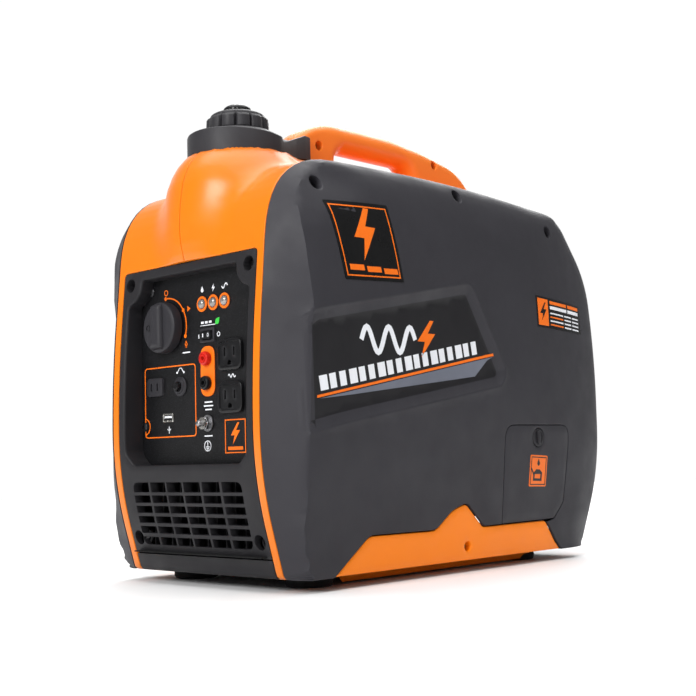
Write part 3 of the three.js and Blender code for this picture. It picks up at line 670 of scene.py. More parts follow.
def band_normal(s):
    along = band_point(np.minimum(s + 2, band_s[-1])) - band_point(np.maximum(s - 2, 0))
    along /= np.maximum(np.linalg.norm(along, axis=1), 1e-6)[:, None]
    return np.stack((-along[:, 1], along[:, 0]), 1)


def hood_field(x, y, z):
    """Rough distance outside the filler hood and the saddle that runs back from it."""
    bell = np.hypot(x, y - CAP_AXIS_Y) - np.interp(z, HOOD[:, 0], HOOD[:, 1])
    bell = np.maximum(0.85 * bell, z - (401.5 + 0.05 * (y - CAP_AXIS_Y)))
    width = np.interp(z, [370, 384, 397, 410], [96, 64, 42, 20])
    top = np.interp(y, [-160, -141, -101, -70], [396, 398.5, 405, 408])
    saddle = np.maximum(0.7 * (x - width), z - top)
    saddle = np.maximum(saddle, np.maximum(-150 - y, 0.6 * (y + 72 - 0.5 * (411 - z))))
    return soft_min(bell, saddle, 14)


def raised(points):
    """Height of the hood above the plain casing band, over (x, s) points."""
    x, s = points.T
    base, normal = band_point(s), band_normal(s)
    heights = np.arange(60, -0.01, -0.5)
    result, done = np.zeros(len(x)), np.zeros(len(x), bool)
    previous = None
    for height in heights:
        place = base + normal * height
        field = soft_min(hood_field(x, place[:, 0], place[:, 1]), np.full(len(x), height), 12)
        hit = (field <= 0) & ~done
        if previous is not None:
            share = np.clip(previous / np.maximum(previous - field, 1e-9), 0, 1)
            result[hit] = (height + 0.5 * (1 - share))[hit]
        done |= hit
        previous = field
    return result


def make_frame():
    front_s = float(np.interp(WINDOW_TOP, band[1:FRONT_END + 2, 1], band_s[1:FRONT_END + 2]))
    rear = band[TOP_END + 1:][::-1]
    rear_s = float(np.interp(REAR_WINDOW_TOP, rear[:, 1], band_s[TOP_END + 1:][::-1]))
    corners = [(WINDOW_X + 0.2, 0, 0), (SEAM_X - 0.4, 0, 0), (SEAM_X - 0.4, band_s[-1], 0),
               (WINDOW_X + 0.2, band_s[-1], 0), (WINDOW_X + 0.2, rear_s, 5), (0.25, rear_s, 0),
               (0.25, front_s, 0), (WINDOW_X + 0.2, front_s, 5)]
    outline = dense(rounded(corners, 6), 4)
    closer = np.array([(0, front_s), (104, front_s), (104, front_s + 300), (0, front_s + 300)], float)

    def off_band(points, height):
        place = band_point(points[:, 1]) + band_normal(points[:, 1]) * height[:, None]
        return np.column_stack((points[:, 0], place))

    def lift(points):
        return off_band(points, raised(points) - roll_off(points, [outline], 0.9))

    def back(points):
        return off_band(points, raised(points) * 0.96 - 3.0)
    right = skin("frame_right_shell", [outline], lift, back, ORANGE, 6, rows=(0.25, 0.9, 2),
                 fine=(closer, 2.6))
    keep_pair(right, "frame_left_shell", "casing_orange", "frame_right", "frame_left")


HANDLE = [(-121, 386, 0), (-117, 428, 6), (-97, 442, 12), (-62, 454.9, 20), (43, 455, 30), (92, 446.5, 20),
          (132, 436.5, 12), (150, 426, 14), (166, 408, 12), (178, 371, 0), (72, 378, 0), (58, 419, 5),
          (50, 426.9, 6), (-50, 426.9, 8), (-58, 416, 6), (-48, 386, 0)]
HANDLE_HALF = 16.6
HANDLE_SCREWS = [(-83.6, 426.3), (97.0, 434.6)]


def make_handle():
    loop = dense(rounded(HANDLE, 8), 5)
    holes = [circle(y, z, 4.9, 24) for y, z in HANDLE_SCREWS]

    def lift(points):
        y, z = points.T
        flare = 5.5 * np.clip((400 - z) / 20, 0, 1) ** 2
        grip = np.interp(y, [-90, -44, 60, 120, 150], [0, 1, 1, 0.3, 0])
        radius = 7.0 + 8.5 * grip
        gap = np.minimum(distance(points, loop), radius)
        drop = radius - np.sqrt(np.maximum(radius ** 2 - (radius - gap) ** 2, 0))
        drop += roll_off(points, holes, 0.8)
        return np.column_stack((HANDLE_HALF + flare - drop, points))

    def back(points):
        x = np.full(len(points), 0.2)
        near = np.min([distance(points, hole) for hole in holes], axis=0) < 0.05
        x[near] = 6.5
        return np.column_stack((x, points))
    right = skin("handle_right", [loop] + holes, lift, back, HANDLE_ORANGE_LIT, 3.2,
                 rows=(0.3, 1, 2, 3.5, 6, 9, 12))
    keep_pair(right, "handle_left", "casing_orange", "frame_right", "frame_left")
    for y, z in HANDLE_SCREWS:
        pocket_floor(f"pocket_handle_{round(y)}", (7.0, y, z), (1, 0, 0), 3.9, HANDLE_ORANGE_LIT,
                     "casing_orange")


# ---- Collar, cap and vent knob -------------------------------------------------------------
UP = (0, 0, 1)
COLLAR_R = 48.6
COLLAR_UNDER = [(-226, 398), (-212, 397.5), (-160, 398.5), (-141, 401), (-101, 407.8)]
COLLAR_TOP = [(-226, 420.5), (-205, 419), (-161, 415.5), (-159.5, 411), (-112, 429.8), (-103, 430.5),
              (-100, 430.2)]


def make_collar():
    ring = circle(0, CAP_AXIS_Y, COLLAR_R, 80, math.radians(-200.5), math.radians(20.5))
    tail = [(33, -131.5), (26.2, -112), (22.6, -103), (21.5, -101), (17.6, -101), (17.6, -121), (-17.6, -121),
            (-17.6, -101), (-21.5, -101), (-22.6, -103), (-26.2, -112), (-33, -131.5)]
    outline = dense(np.vstack((ring, np.array(tail, float))), 3)
    neck = circle(0, CAP_AXIS_Y, 23, 48)

    def lift(points):
        inward = COLLAR_R - np.hypot(points[:, 0], points[:, 1] - CAP_AXIS_Y)
        rim = np.interp(points[:, 1], *np.array(COLLAR_TOP).T)
        top = rim + np.maximum(424.8 - rim, 0) * np.clip(inward / 16, 0, 1)
        return np.column_stack((points, top - roll_off(points, [outline], 1.2)))

    def back(points):
        return np.column_stack((points, np.interp(points[:, 1], *np.array(COLLAR_UNDER).T)))
    notch = [(np.array([(sign * far, y), (sign * near, y)]), False)
             for sign in (-1, 1) for far, near, y in ((45, 36, -159.6), (45, 36, -161), (25, 18.2, -112))]
    shell("filler_collar", [outline, neck], lift, back, CAP_BLACK, 3.5, "casing", "bezel_black",
          "cap_collar", rows=(0.3, 1.2), lines=notch)


def make_cap():
    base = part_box("fuel_cap")[0].z / MM + 0.1
    body = [(26.8, 0), (27.2, 1), (26.8, 13.5), (26.0, 15.8), (24.2, 17.4), (21.4, 18.2), (16, 18.5),
            (12, 18.6)]

    def ribs(radius, height, angle):
        turn = (angle / (2 * math.pi) * 12) % 1
        inside_rib = min(1, max(0, (0.5 - abs(turn - 0.5) - 0.045) / 0.03))
        reach = float(np.interp(height, [0, 0.8, 11, 12.6, 13.6], [3.0, 3.5, 3.3, 2.2, 0]))
        facet = 1 - 0.35 * (1 - math.cos(2 * math.pi * (turn - 0.5))) * 0.5
        groove = float(np.interp(height, [0, 15, 17.5], [0.9, 0.8, 0]))
        return radius + reach * inside_rib * facet - groove * (1 - inside_rib)
    heights = [0, 0.8, 1.4, 4, 8, 11, 11.8, 12.4, 13.0, 13.6, 14.5, 15.8, 16.8, 17.6, 18.2, 18.5]
    profile = [(float(np.interp(h, [p[1] for p in body], [p[0] for p in body])), h) for h in heights]
    turned("cap_shell", profile, (0, CAP_AXIS_Y, base), UP, CAP_BLACK, 192, "fuel_cap", "control_black",
           "fuel_cap", sharp=24, lobes=ribs)


def make_vent_knob():
    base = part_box("vent_knob")[0].z / MM - 1.9
    dome = [(11.8, 0), (12.6, 0.3), (13.0, 1.0), (13.7, 1.6), (13.7, 3.4), (13.1, 4.6), (11.6, 6.0),
            (9.0, 7.2), (5.5, 7.9), (1.0, 8.2)]

    def nicks(radius, height, angle):
        nicked = height > 1.2 and radius > 12.5 and math.cos(12 * angle) > 0.86
        return radius - (0.45 if nicked else 0)
    turned("vent_knob_turned", dome, (0, CAP_AXIS_Y, base), UP, GLOSS_BLACK, 64, "vent_knob",
           "control_black", "vent_knob", lobes=nicks)


make_frame()
make_handle()
make_collar()
make_cap()
make_vent_knob()


# ---- Front cover ---------------------------------------------------------------------------
PANEL_WINDOW = [(-75, 110, 3), (75, 110, 3), (87, 121, 6), (87, 262, 4), (78.5, 264.5, 4), (69.5, 273, 6),
                (68, 285, 3), (-68, 285, 3), (-69.5, 273, 6), (-78.5, 264.5, 4), (-87, 262, 4), (-87, 121, 6)]
GRILLE_ROWS = [(36.2, 43.6), (47.2, 53.6), (56.8, 63.0), (66.2, 72.6), (75.6, 82.4), (85.4, 94.4)]
GRILLE_COLUMNS = [(-79.0, -55.4), (-52.4, -30.4), (-28.0, -6.2), (-3.6, 19.4), (22.4, 46.2), (49.6, 75.6)]
FRONT_SCREWS = [(-85.3, 282), (85.3, 282), (-85.2, 42.6), (85.2, 42.6)]
COVER_HALF = WINDOW_X - 0.5


def grille_slot(column, row):
    """One slot; the four at the ends of the grille have their outer corner cut off."""
    (x0, x1), (z0, z1) = GRILLE_COLUMNS[column], GRILLE_ROWS[row]
    corners = [(x0, z0, (0, 0)), (x1, z0, (5, 0)), (x1, z1, (5, 5)), (x0, z1, (0, 5))]
    return dense(rounded([(x, z, 6.8 if (column, row) == end else 0.8) for x, z, end in corners], 4), 6)


def make_front_cover():
    outline = dense(rounded([(-COVER_HALF, 28.3, 1), (COVER_HALF, 28.3, 1), (COVER_HALF, 294.2, 5),
                             (-COVER_HALF, 294.2, 5)], 6), 5)
    window = dense(rounded(PANEL_WINDOW, 6), 5)
    screws = [circle(x, z, 6.6, 28) for x, z in FRONT_SCREWS]
    slots = [grille_slot(i, j) for i in range(6) for j in range(6)]
    edges = [(outline, 0.9), (window, 2.6)] + [(s, 0.7) for s in screws] + [(s, 0.5) for s in slots]

    def lift(points):
        y = front_y(points[:, 1])
        for loop, radius in edges:
            y = y + roll_off(points, [loop], radius)
        return across_y(np.minimum(y, PANEL_Y - 1.0), points)

    def back(points):
        y = front_y(points[:, 1]) + 3
        y[distance(points, window) < 0.05] = PANEL_Y - 0.35
        for slot in slots + screws:
            y[distance(points, slot) < 0.05] += 6.5
        return across_y(np.minimum(y, PANEL_Y - 0.35), points)
    shell("front_bezel", [outline, window] + screws + slots, lift, back, BEZEL, 6, "casing", "bezel_black",
          "front_cover", rows=(0.2,), lines=[(offset(window, -d), True) for d in (0.9, 2.6)])
    for x, z in FRONT_SCREWS:
        pocket_floor(f"pocket_front_{round(x)}_{round(z)}", (x, float(front_y(z)) + 9.5, z), (0, -1, 0), 6.4,
                     BEZEL, "bezel_black")


# ---- Rear cover and bottom tray ------------------------------------------------------------
REAR_SCREWS = [(x, z) for x in (-84, 84) for z in (52, 282)]
EXHAUST = (38, 232)


def make_rear_cover():
    outline = dense(box_loop(-COVER_HALF, COVER_HALF, 38.7, 295.4, 5), 5)
    exhaust = circle(*EXHAUST, 27, 48)
    slots = [dense(rectangle(-54 + 54 * i, 67 + 18 * j, 48, 10, 3), 6) for i in range(3) for j in range(7)]
    screws = [circle(x, z, 6, 24) for x, z in REAR_SCREWS]

    def lift(points):
        y = rear_y(points[:, 1])
        for loop, radius in [(outline, 0.9), (exhaust, 2.5)] + [(s, 0.8) for s in slots + screws]:
            y = y - roll_off(points, [loop], radius)
        ring = np.hypot(points[:, 0] - EXHAUST[0], points[:, 1] - EXHAUST[1])
        return across_y(y - np.interp(ring, [33, 34, 36, 37], [0, 0.8, 0.8, 0]), points)

    def back(points):
        y = rear_y(points[:, 1]) - 3
        for loop in slots + screws + [exhaust]:
            y[distance(points, loop) < 0.05] -= 5
        return across_y(y, points)
    rings = [(circle(*EXHAUST, radius, 48), True) for radius in (29.5, 33, 34, 36, 37)]
    shell("rear_bezel", [outline, exhaust] + slots + screws, lift, back, BEZEL, 7, "casing", "bezel_black",
          "rear_cover", rows=(0.3, 0.8), lines=rings)
    for x, z in REAR_SCREWS:
        pocket_floor(f"pocket_rear_{x}_{z}", (x, float(rear_y(z)) - 8, z), (0, 1, 0), 5.8, BEZEL,
                     "bezel_black")


def make_tray():
    top = 27.2
    low = casing[casing[:, 1] < top]
    front, rear = low[low[:, 0] < -150], low[low[:, 0] > 150]
    front = np.vstack((front[np.argsort(front[:, 1])], (float(front_y(top)), top)))
    rear = np.vstack(((float(rear_y(top)), top), rear[np.argsort(-rear[:, 1])]))
    outline = dense(np.vstack((front, rear)), 6)

    def side(sign):
        return lambda p: np.column_stack((sign * (WINDOW_X - 0.6 - roll_off(p, [outline], 1.0)), p))
    shell("tray_shell", [outline], side(1), side(-1), BEZEL, 12, "casing", "panel_black", "bottom_tray",
          rows=(0.3, 1.0))


# Lightning bolt, about 96 high.
EMBLEM = np.array([(14, 48), (-30, -8), (-5, -8), (-18, -48), (31, 14), (5, 14), (27, 48)], float)


# ---- Control panel -------------------------------------------------------------------------
FORWARD = (0, -1, 0)


def ahead(height, loops=(), radius=0.0):
    """Places (x, z) points this far in front of the plate, with edges rounded along loops."""
    def place(points):
        y = np.full(len(points), PANEL_Y - height)
        if loops:
            y = y + roll_off(points, loops, radius)
        return across_y(y, points)
    return place


def turned_on_panel(name, profile, place, surface, count, body, slot, *nodes, **more):
    turned(name, profile, (place[0], PANEL_Y, place[1]), FORWARD, surface, count, body, slot, *nodes, **more)


def print_on_panel(name, outline, surface, holes=(), height=0.28):
    shell(name, [outline, *holes], ahead(height), ahead(0.02), surface, 30, "casing", "panel_black")


def middle(node):
    low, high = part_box(node)
    return (low.x + high.x) / 2 / MM, (low.z + high.z) / 2 / MM


def stroke(line, width):
    """Outline of a line of this width."""
    line = np.array(line, float)
    direction = np.gradient(line, axis=0)
    direction /= np.linalg.norm(direction, axis=1)[:, None]
    across = np.stack((-direction[:, 1], direction[:, 0]), 1) * width / 2
    return np.vstack((line + across, (line - across)[::-1]))


LAMPS = {kind: middle(f"lamp_{kind}") for kind in ("oil", "overload", "output")}
JACKS = {kind: middle(f"parallel_jack_{kind}") for kind in ("red", "black")}
OUTLETS = {kind: middle(f"outlet_{kind}") for kind in ("upper", "lower")}
PLATE_SCREWS = [(-70.5, 275.2), (-83.6, 146.6)]


def make_plate():
    dial, rocker, dc, usb = (middle(n) for n in ("engine_dial", "eco_switch_frame", "dc_socket", "usb_port"))
    holes = [circle(*dial, 6, 24), rectangle(*rocker, 17.6, 10.6, 0.8)]
    holes += [circle(*place, 5.1, 20) for place in LAMPS.values()]
    holes += [circle(*place, 4.9, 20) for place in JACKS.values()]
    holes += [rectangle(*place, 29.4, 24.6, 1) for place in OUTLETS.values()]
    holes += [rectangle(*dc, 20.6, 14.6, 1), circle(*middle("dc_breaker_bush"), 6.9, 20)]
    holes += [rectangle(*usb, 13.6, 7.1, 1)]
    holes += [circle(*middle("ground_nut"), 3.3, 16)]
    plate = dense(rectangle(0, 197.5, 181, 180.6, 3), 6)
    shell("panel_plate", [plate] + holes, ahead(0), ahead(-WALL), PANEL, 12, "casing", "panel_black",
          "control_panel")


def make_dial():
    dial = middle("engine_dial")
    kept = ("engine_dial", "control_black", "engine_dial")
    skirt = [(22.5, 0.8), (24.0, 1.6), (24.0, 9.0), (23.5, 10.6), (21.2, 12.0), (20.4, 12.1), (1.0, 12.3)]
    turned_on_panel("dial_skirt", skirt, dial, SOFT_BLACK, 72, *kept)
    blade = dense(rounded([(-9, -20.6, 3), (9, -20.6, 3), (8, 21.6, 3), (-8, 21.6, 3)], 5) + dial, 2.5)
    shell("dial_grip", [blade], ahead(16.8, [blade], 5.0), ahead(11.0), SOFT_BLACK, 3, *kept,
          rows=(0.4, 1.6, 3.2, 5))
    turned_on_panel("dial_screw_hole", [(3.1, 11.0), (3.1, 12.6), (2.5, 12.7), (2.3, 11.6), (0.2, 11.5)],
                    (dial[0] - 14.0, dial[1] + 0.5), GLOSS_BLACK, 24, *kept)


def make_lamps():
    ring = [(4.9, 0.1), (7.1, 0.1), (7.2, 0.9), (6.9, 1.2), (5.2, 1.2), (4.9, 0.6)]
    lens = [(4.8, -2), (4.8, 0.9), (4.3, 2.2), (3.2, 3.2), (1.8, 3.8), (0.2, 4.0)]
    for kind, place in LAMPS.items():
        turned_on_panel(f"lamp_ring_{kind}", ring, place, PRINT_ORANGE, 40, "casing", "jack_orange")
        turned_on_panel(f"lamp_lens_{kind}", lens, place, LENS, 32, "casing", "lamp_lens", f"lamp_{kind}")


def make_rocker():
    x, z = middle("eco_switch_frame")
    rim, well = rectangle(x, z, 20, 13, 1.2), rectangle(x, z, 15.0, 8.0, 0.6)
    pad = rectangle(x, z, 14.0, 7.3, 0.5)
    shell("rocker_frame", [rim, well], ahead(2.0, [rim, well], 0.6), ahead(-2), SOFT_BLACK, 3, "casing",
          "control_black", "eco_switch_frame", rows=(0.2, 0.6))
    kept = ("eco_rocker", "control_black", "eco_switch_rocker")

    def valley(lifted, loops=()):
        """The rocker's top: high at its ends, low along its middle line."""
        def place(points):
            y = PANEL_Y - 4.6 + 1.7 * (1 - np.abs(points[:, 0] - x) / 7.0) - lifted
            return across_y(y + roll_off(points, loops, 0.4) if loops else y, points)
        return place
    shell("rocker_pad", [pad], valley(0.0, [pad]), ahead(-3), GLOSS_BLACK, 1.5, *kept, rows=(0.2, 0.4),
          lines=[(np.array([(x, z - 3.5), (x, z + 3.5)]), False)])
    marks = {"bar": [rectangle(x - 3.6, z, 0.9, 3.4)],
             "ring": [circle(x + 3.6, z, 1.7, 20), circle(x + 3.6, z, 1.1, 20)]}
    for mark, loops in marks.items():
        shell(f"rocker_{mark}", loops, valley(0.1), valley(-0.3), PRINT_WHITE, 2, *kept)


def make_jacks():
    strip = dense(rectangle(JACKS["red"][0], 194, 19.5, 46, 9.6, 8), 3)
    shell("jack_strip", [strip] + [circle(*place, 4.8, 24) for place in JACKS.values()],
          ahead(1.5, [strip], 0.5), ahead(0.3), PRINT_ORANGE, 4, "casing", "jack_orange", "jack_plate",
          rows=(0.5,))
    profile = [(4.5, -8), (4.5, 1.8), (6.2, 1.8), (6.5, 2.6), (6.5, 5.2), (5.9, 6.4), (4.4, 7.0), (4.0, 6.2),
               (3.6, 6.2), (3.4, 7.1), (2.3, 7.1), (2.1, 6.4), (2.0, -5), (0.2, -5)]
    for kind, surface, slot in (("red", RED, "jack_red"), ("black", GLOSS_BLACK, "control_black")):
        turned_on_panel(f"jack_socket_{kind}", profile, JACKS[kind], surface, 40, "casing", slot,
                        f"parallel_jack_{kind}")


def make_outlet(name, x, z):
    kept = ("casing", "control_black", f"outlet_{name}")
    rim = dense(box_loop(x - 16.4, x + 16.4, z - 14, z + 14, 7, 7), 3)
    inner = offset(rim, 2.6)
    slots = [rectangle(x - 6.4, z + 2.4, 2.2, 8), rectangle(x + 6.3, z + 2.5, 2.2, 7.8),
             np.vstack((circle(x, z - 7.6, 2.5, 16, 0, math.pi), [(x - 2.5, z - 9.4), (x + 2.5, z - 9.4)]))]

    def face(points):
        sunk = np.interp(-signed(points, inner), [0, 0.5], [0, 0.9])
        return across_y(PANEL_Y - 3.9 + roll_off(points, [rim], 1.2) + sunk, points)
    shell(f"receptacle_{name}", [rim] + slots, face, ahead(-1.5), GLOSS_BLACK, 3.5, *kept, rows=(0.2,),
          lines=[(inner, True), (offset(inner, 0.5), True), (offset(rim, 1.2), True)])
    wells = [(x - 6.4, z + 2.4, 2.6, 8.6, NICKEL), (x + 6.3, z + 2.5, 2.6, 8.4, NICKEL),
             (x, z - 8, 5.6, 5.6, GLOSS_BLACK)]
    for k, (*place, surface) in enumerate(wells):
        shell(f"receptacle_{name}_well_{k}", [rectangle(*place)], ahead(-1.0), ahead(-2.5), surface, 4, *kept)


def make_sockets():
    x, z = middle("dc_socket")
    rim = dense(rectangle(x, z, 24, 17.6, 4.5), 3)
    blades = [rectangle(x + side, z, 2.0, 7) for side in (-4.6, 4.6)]
    shell("dc_receptacle", [rim] + blades, ahead(2.9, [rim], 1.0), ahead(-2), SOFT_BLACK, 3, "casing",
          "control_black", "dc_socket", rows=(0.3, 1.0))

    breaker = middle("dc_breaker_bush")
    bush = [(9.3, 0.4), (9.3, 1.0), (8.6, 1.8), (6.8, 2.2), (6.2, 3.1), (4.9, 3.3), (4.6, 2.6), (4.5, -3),
            (4.0, -4)]
    turned_on_panel("breaker_bush", bush, breaker, SOFT_BLACK, 48, "casing", "control_black",
                    "dc_breaker_bush")
    button = [(4.1, -4), (4.1, 5.6), (3.6, 6.6), (2.6, 6.9), (2.2, 6.4), (0.2, 6.3)]
    turned_on_panel("breaker_push", button, breaker, GLOSS_BLACK, 32, "breaker_button", "control_black",
                    "dc_breaker_button")

    x, z = middle("usb_port")
    kept = ("casing", "control_black", "usb_port")
    rim, mouth = rectangle(x, z, 15.6, 8.6, 1.6), rectangle(x, z, 12.6, 5.4, 0.6)
    shell("usb_socket", [rim, mouth], ahead(1.5, [rim, mouth], 0.4), ahead(-3), NICKEL, 3, *kept, rows=(0.4,))
    shell("usb_tongue", [rectangle(x, z + 0.8, 10.5, 1.8)], ahead(1.0), ahead(-2.5), PRINT_WHITE, 4, *kept)
    shell("usb_well", [rectangle(x, z, 13, 5.8)], ahead(-2.0), ahead(-2.9), GLOSS_BLACK, 6, *kept)


def make_panel():
    make_plate()
    make_dial()
    make_lamps()
    make_rocker()
    make_jacks()
    for name, place in OUTLETS.items():
        make_outlet(name, *place)
    make_sockets()
    make_ground(middle("ground_nut"))
    for x, z in PLATE_SCREWS:
        screw((x, PANEL_Y, z), FORWARD)
    make_dial_scale(*middle("engine_dial"))
    make_switch_prints()
    make_dial_marks(*middle("engine_dial"))
    make_socket_prints()


def make_ground(place):
    x, z = place
    pitch = 1.25

    def thread(radius, height, angle):
        return radius - 0.35 * (0.5 + 0.5 * math.cos(2 * math.pi * (height / pitch - angle / (2 * math.pi))))
    stud = [(3.0, h) for h in np.arange(1, 12.6, 0.25)] + [(2.2, 13.2), (0.3, 13.4)]
    turned_on_panel("ground_stud", stud, place, STEEL, 28, "casing", "steel", "ground_bolt", sharp=60,
                    lobes=thread)
    kept = ("casing", "steel", "ground_nut")
    turned_on_panel("ground_washer", [(3.3, 0.3), (7.4, 0.3), (7.6, 0.9), (7.4, 1.5), (3.3, 1.5)], place,
                    STEEL, 40, *kept)
    hexagon = circle(x, z, 6.2, 6)
    shell("ground_hex_nut", [dense(hexagon, 2), circle(x, z, 3.0, 20)], ahead(6.4, [hexagon], 0.6),
          ahead(1.5), STEEL, 2, *kept, rows=(0.6,))
    turned_on_panel("ground_lock_washer", [(3.2, 6.4), (5.6, 6.5), (5.4, 7.6), (3.2, 7.7)], place, NICKEL, 32,
                    *kept)


# The marks on the plate are plain shapes, with no lettering.
def sine(half, height, waves, count):
    """A run of sine waves from -half to half."""
    along = np.linspace(-half, half, count)
    return np.stack((along, height * np.sin(along * math.pi * waves / half)), 1)


def print_line(name, line, place, width, surface=PRINT_WHITE):
    print_on_panel(name, stroke(np.array(line) + place, width), surface)


def print_bar(name, x, z, width, height):
    print_on_panel(name, rectangle(x, z, width, height), PRINT_WHITE)


def print_ring(name, outline, width, surface=PRINT_WHITE):
    print_on_panel(name, outline, surface, [offset(outline, width)])


def make_dial_scale(x, z):
    reach = 28.2
    angles = np.radians(np.linspace(93, -17, 24))
    arc = np.stack((x + reach * np.cos(angles), z + reach * np.sin(angles)), 1)
    print_on_panel("dial_arc", stroke(arc, 1.3), PRINT_ORANGE)
    for k, a in enumerate(math.radians(angle) for angle in (95, 32, -20)):
        dot = circle(x + reach * math.cos(a), z + reach * math.sin(a), 1.9, 16)
        print_on_panel(f"dial_dot_{k}", dot, PRINT_ORANGE, height=0.34)


def make_switch_prints():
    print_ring("socket_outline", box_loop(-83.5, -6.2, 135.6, 202.6, 4, 5), 1.1, PRINT_ORANGE)
    bump = circle(*PLATE_SCREWS[1], 7.6, 20, -math.pi / 2, math.pi / 2)
    print_on_panel("socket_outline_bump", stroke(bump, 1.1), PRINT_ORANGE, height=0.3)

    above_lamp = {kind: (x, z + 13.5) for kind, (x, z) in LAMPS.items()}
    x, z = above_lamp["oil"]
    drop = [(x, z + 3, 0), (x - 2.25, z - 1.5, 1.5), (x, z - 3, 0.9), (x + 2.25, z - 1.5, 1.5)]
    print_on_panel("mark_oil", rounded(drop, 4), PRINT_WHITE)
    bolt = np.array([(0.6, 3.4), (-2.2, -0.4), (-0.4, -0.4), (-1.0, -3.4), (2.2, 0.6), (0.3, 0.6)])
    print_on_panel("mark_overload", bolt + above_lamp["overload"], PRINT_WHITE)
    print_line("mark_output", sine(4, 2.2, 1, 17), above_lamp["output"], 1.0)

    x, z = middle("eco_switch_frame")
    leaf = rounded([(-3, -2.6, 1), (2.0, -3.0, 2), (3.4, 3.2, 0.6), (-2.0, 2.2, 2)], 4)
    print_on_panel("mark_leaf", leaf + (x + 12.7, z + 12.0), PRINT_GREEN)
    print_bar("mark_eco_line", x - 0.5, z + 9.4, 21, 0.6)
    for k in range(3):
        print_bar(f"mark_eco_{k}", x - 8.2 + 5.6 * k, z + 12.2, 3.6, 2.0)
    print_bar("mark_switch_on", x - 13.6, z, 1.1, 3.6)
    print_ring("mark_switch_off", circle(x + 14.4, z, 2.2, 20), 0.7)


def make_dial_marks(x, z):
    print_ring("mark_dial_stop", circle(x - 1.5, z + 33.6, 2.8, 24), 0.8, PRINT_ORANGE)
    run = np.array([(-1.8, -2.6), (2.4, 0), (-1.8, 2.6)]) + (x + 32.0, z + 15.5)
    print_on_panel("mark_dial_run", run, PRINT_ORANGE)
    for k in (-1, 1):
        arrow = [(-2.2 * k, -3.0), (0, 0.4), (-2.2 * k, 3.2)]
        print_line(f"mark_dial_choke_{k + 1}", arrow, (x + 27.5 + 1.6 * k, z - 17.5), 0.9, PRINT_ORANGE)


def make_socket_prints():
    dial, ground, jacks_x = middle("engine_dial"), middle("ground_nut"), JACKS["red"][0] - 0.5
    rows = ((dial[0] + 27.6, dial[1] - 25), (jacks_x, 166), (ground[0], ground[1] - 11.4))
    for k, place in enumerate(rows):
        print_bar(f"mark_row_{k}", *place, 11, 1.2)
    print_bar("mark_jacks_second", jacks_x, 162.6, 13, 1.2)
    print_bar("mark_jacks_third", jacks_x, 159.2, 9, 1.2)
    between = (OUTLETS["upper"][0], (OUTLETS["upper"][1] + OUTLETS["lower"][1]) / 2)
    print_line("mark_outlets", sine(5, 1.5, 2, 21), between, 0.9)

    x, z = middle("dc_breaker_bush")
    for k, dx in enumerate((-5, 5)):
        print_on_panel(f"mark_breaker_{k}", circle(x + dx, z + 13.2, 1.1, 12), PRINT_WHITE)
    print_line("mark_breaker_link", [(-4, 0), (-1.5, 3.4), (1.5, 3.4), (4, 0)], (x, z + 13.8), 0.7)
    x, z = middle("usb_port")
    print_line("mark_usb_stem", [(0, -3.6), (0, 3.0)], (x + 0.5, z - 11), 0.8)
    print_line("mark_usb_arm", [(-2.4, 0.6), (0, -1.4), (2.4, 0.8)], (x + 0.5, z - 11), 0.7)
    x, z = ground[0] - 1.2, ground[1] - 20.4
    print_ring("mark_ground_ring", circle(x, z, 4.9, 28), 0.7)
    print_bar("mark_ground_stem", x, z + 1.4, 0.8, 4.2)
    for k, width in enumerate((5.2, 3.4, 1.6)):
        print_bar(f"mark_ground_{k}", x, z - 0.9 - 1.3 * k, width, 0.7)

    print_ring("badge_frame", rectangle(47.9, 134.2, 28, 30, 0), 1.0, PRINT_ORANGE)
    print_on_panel("badge_bolt", EMBLEM * 0.20 + (48, 136.5), PRINT_ORANGE)
    print_on_panel("badge_bar", rectangle(48, 123.5, 20, 3.0), PRINT_ORANGE)


make_front_cover()
make_rear_cover()
make_tray()
make_panel()


# ---- Labels on the side cover --------------------------------------------------------------
def decal(name, outline, surface, height=0.25, holes=(), body="casing", base=recessed_x, step=8, flip=False):
    """Thin print on the side cover, and with flip also on the left cover."""
    def place(extra):
        return lambda p: np.column_stack((base(p) + extra, p))
    loops = [dense(outline, step)] + [dense(hole, step) for hole in holes]
    piece = skin(name, loops, place(height), place(-0.15), surface, step)
    if flip:
        keep(mirrored(piece, name + "_left"), body, "cover_grey")
    keep(piece, body, "cover_grey")


def make_emblem():
    plate = np.array([(-105.4, 269.9), (-119.1, 340.4), (-197.9, 336.1), (-181.5, 266.4)], float)
    decal("emblem_plate", rounded([(*p, 1.5) for p in plate], 4), PRINT_BLACK, flip=True)
    frame_loop = offset(plate, 3.4)
    decal("emblem_frame", frame_loop, PRINT_ORANGE, 0.4, [offset(frame_loop, 1.2)], flip=True)
    lean = -0.235
    bolt = np.column_stack((0.5 * (EMBLEM[:, 0] + lean * EMBLEM[:, 1]), 0.5 * EMBLEM[:, 1]))
    decal("emblem_bolt", bolt + (-153.2, 309.5), PRINT_ORANGE, 0.4, flip=True)
    for k, (start, end) in enumerate(((-176, -158), (-154, -136), (-132, -114))):
        bar = np.array([(start + 1.4, 275.5), (end + 1.4, 276.4), (end, 281.4), (start, 280.5)])
        decal(f"emblem_bar_{k}", bar, PRINT_ORANGE, 0.4, flip=True)


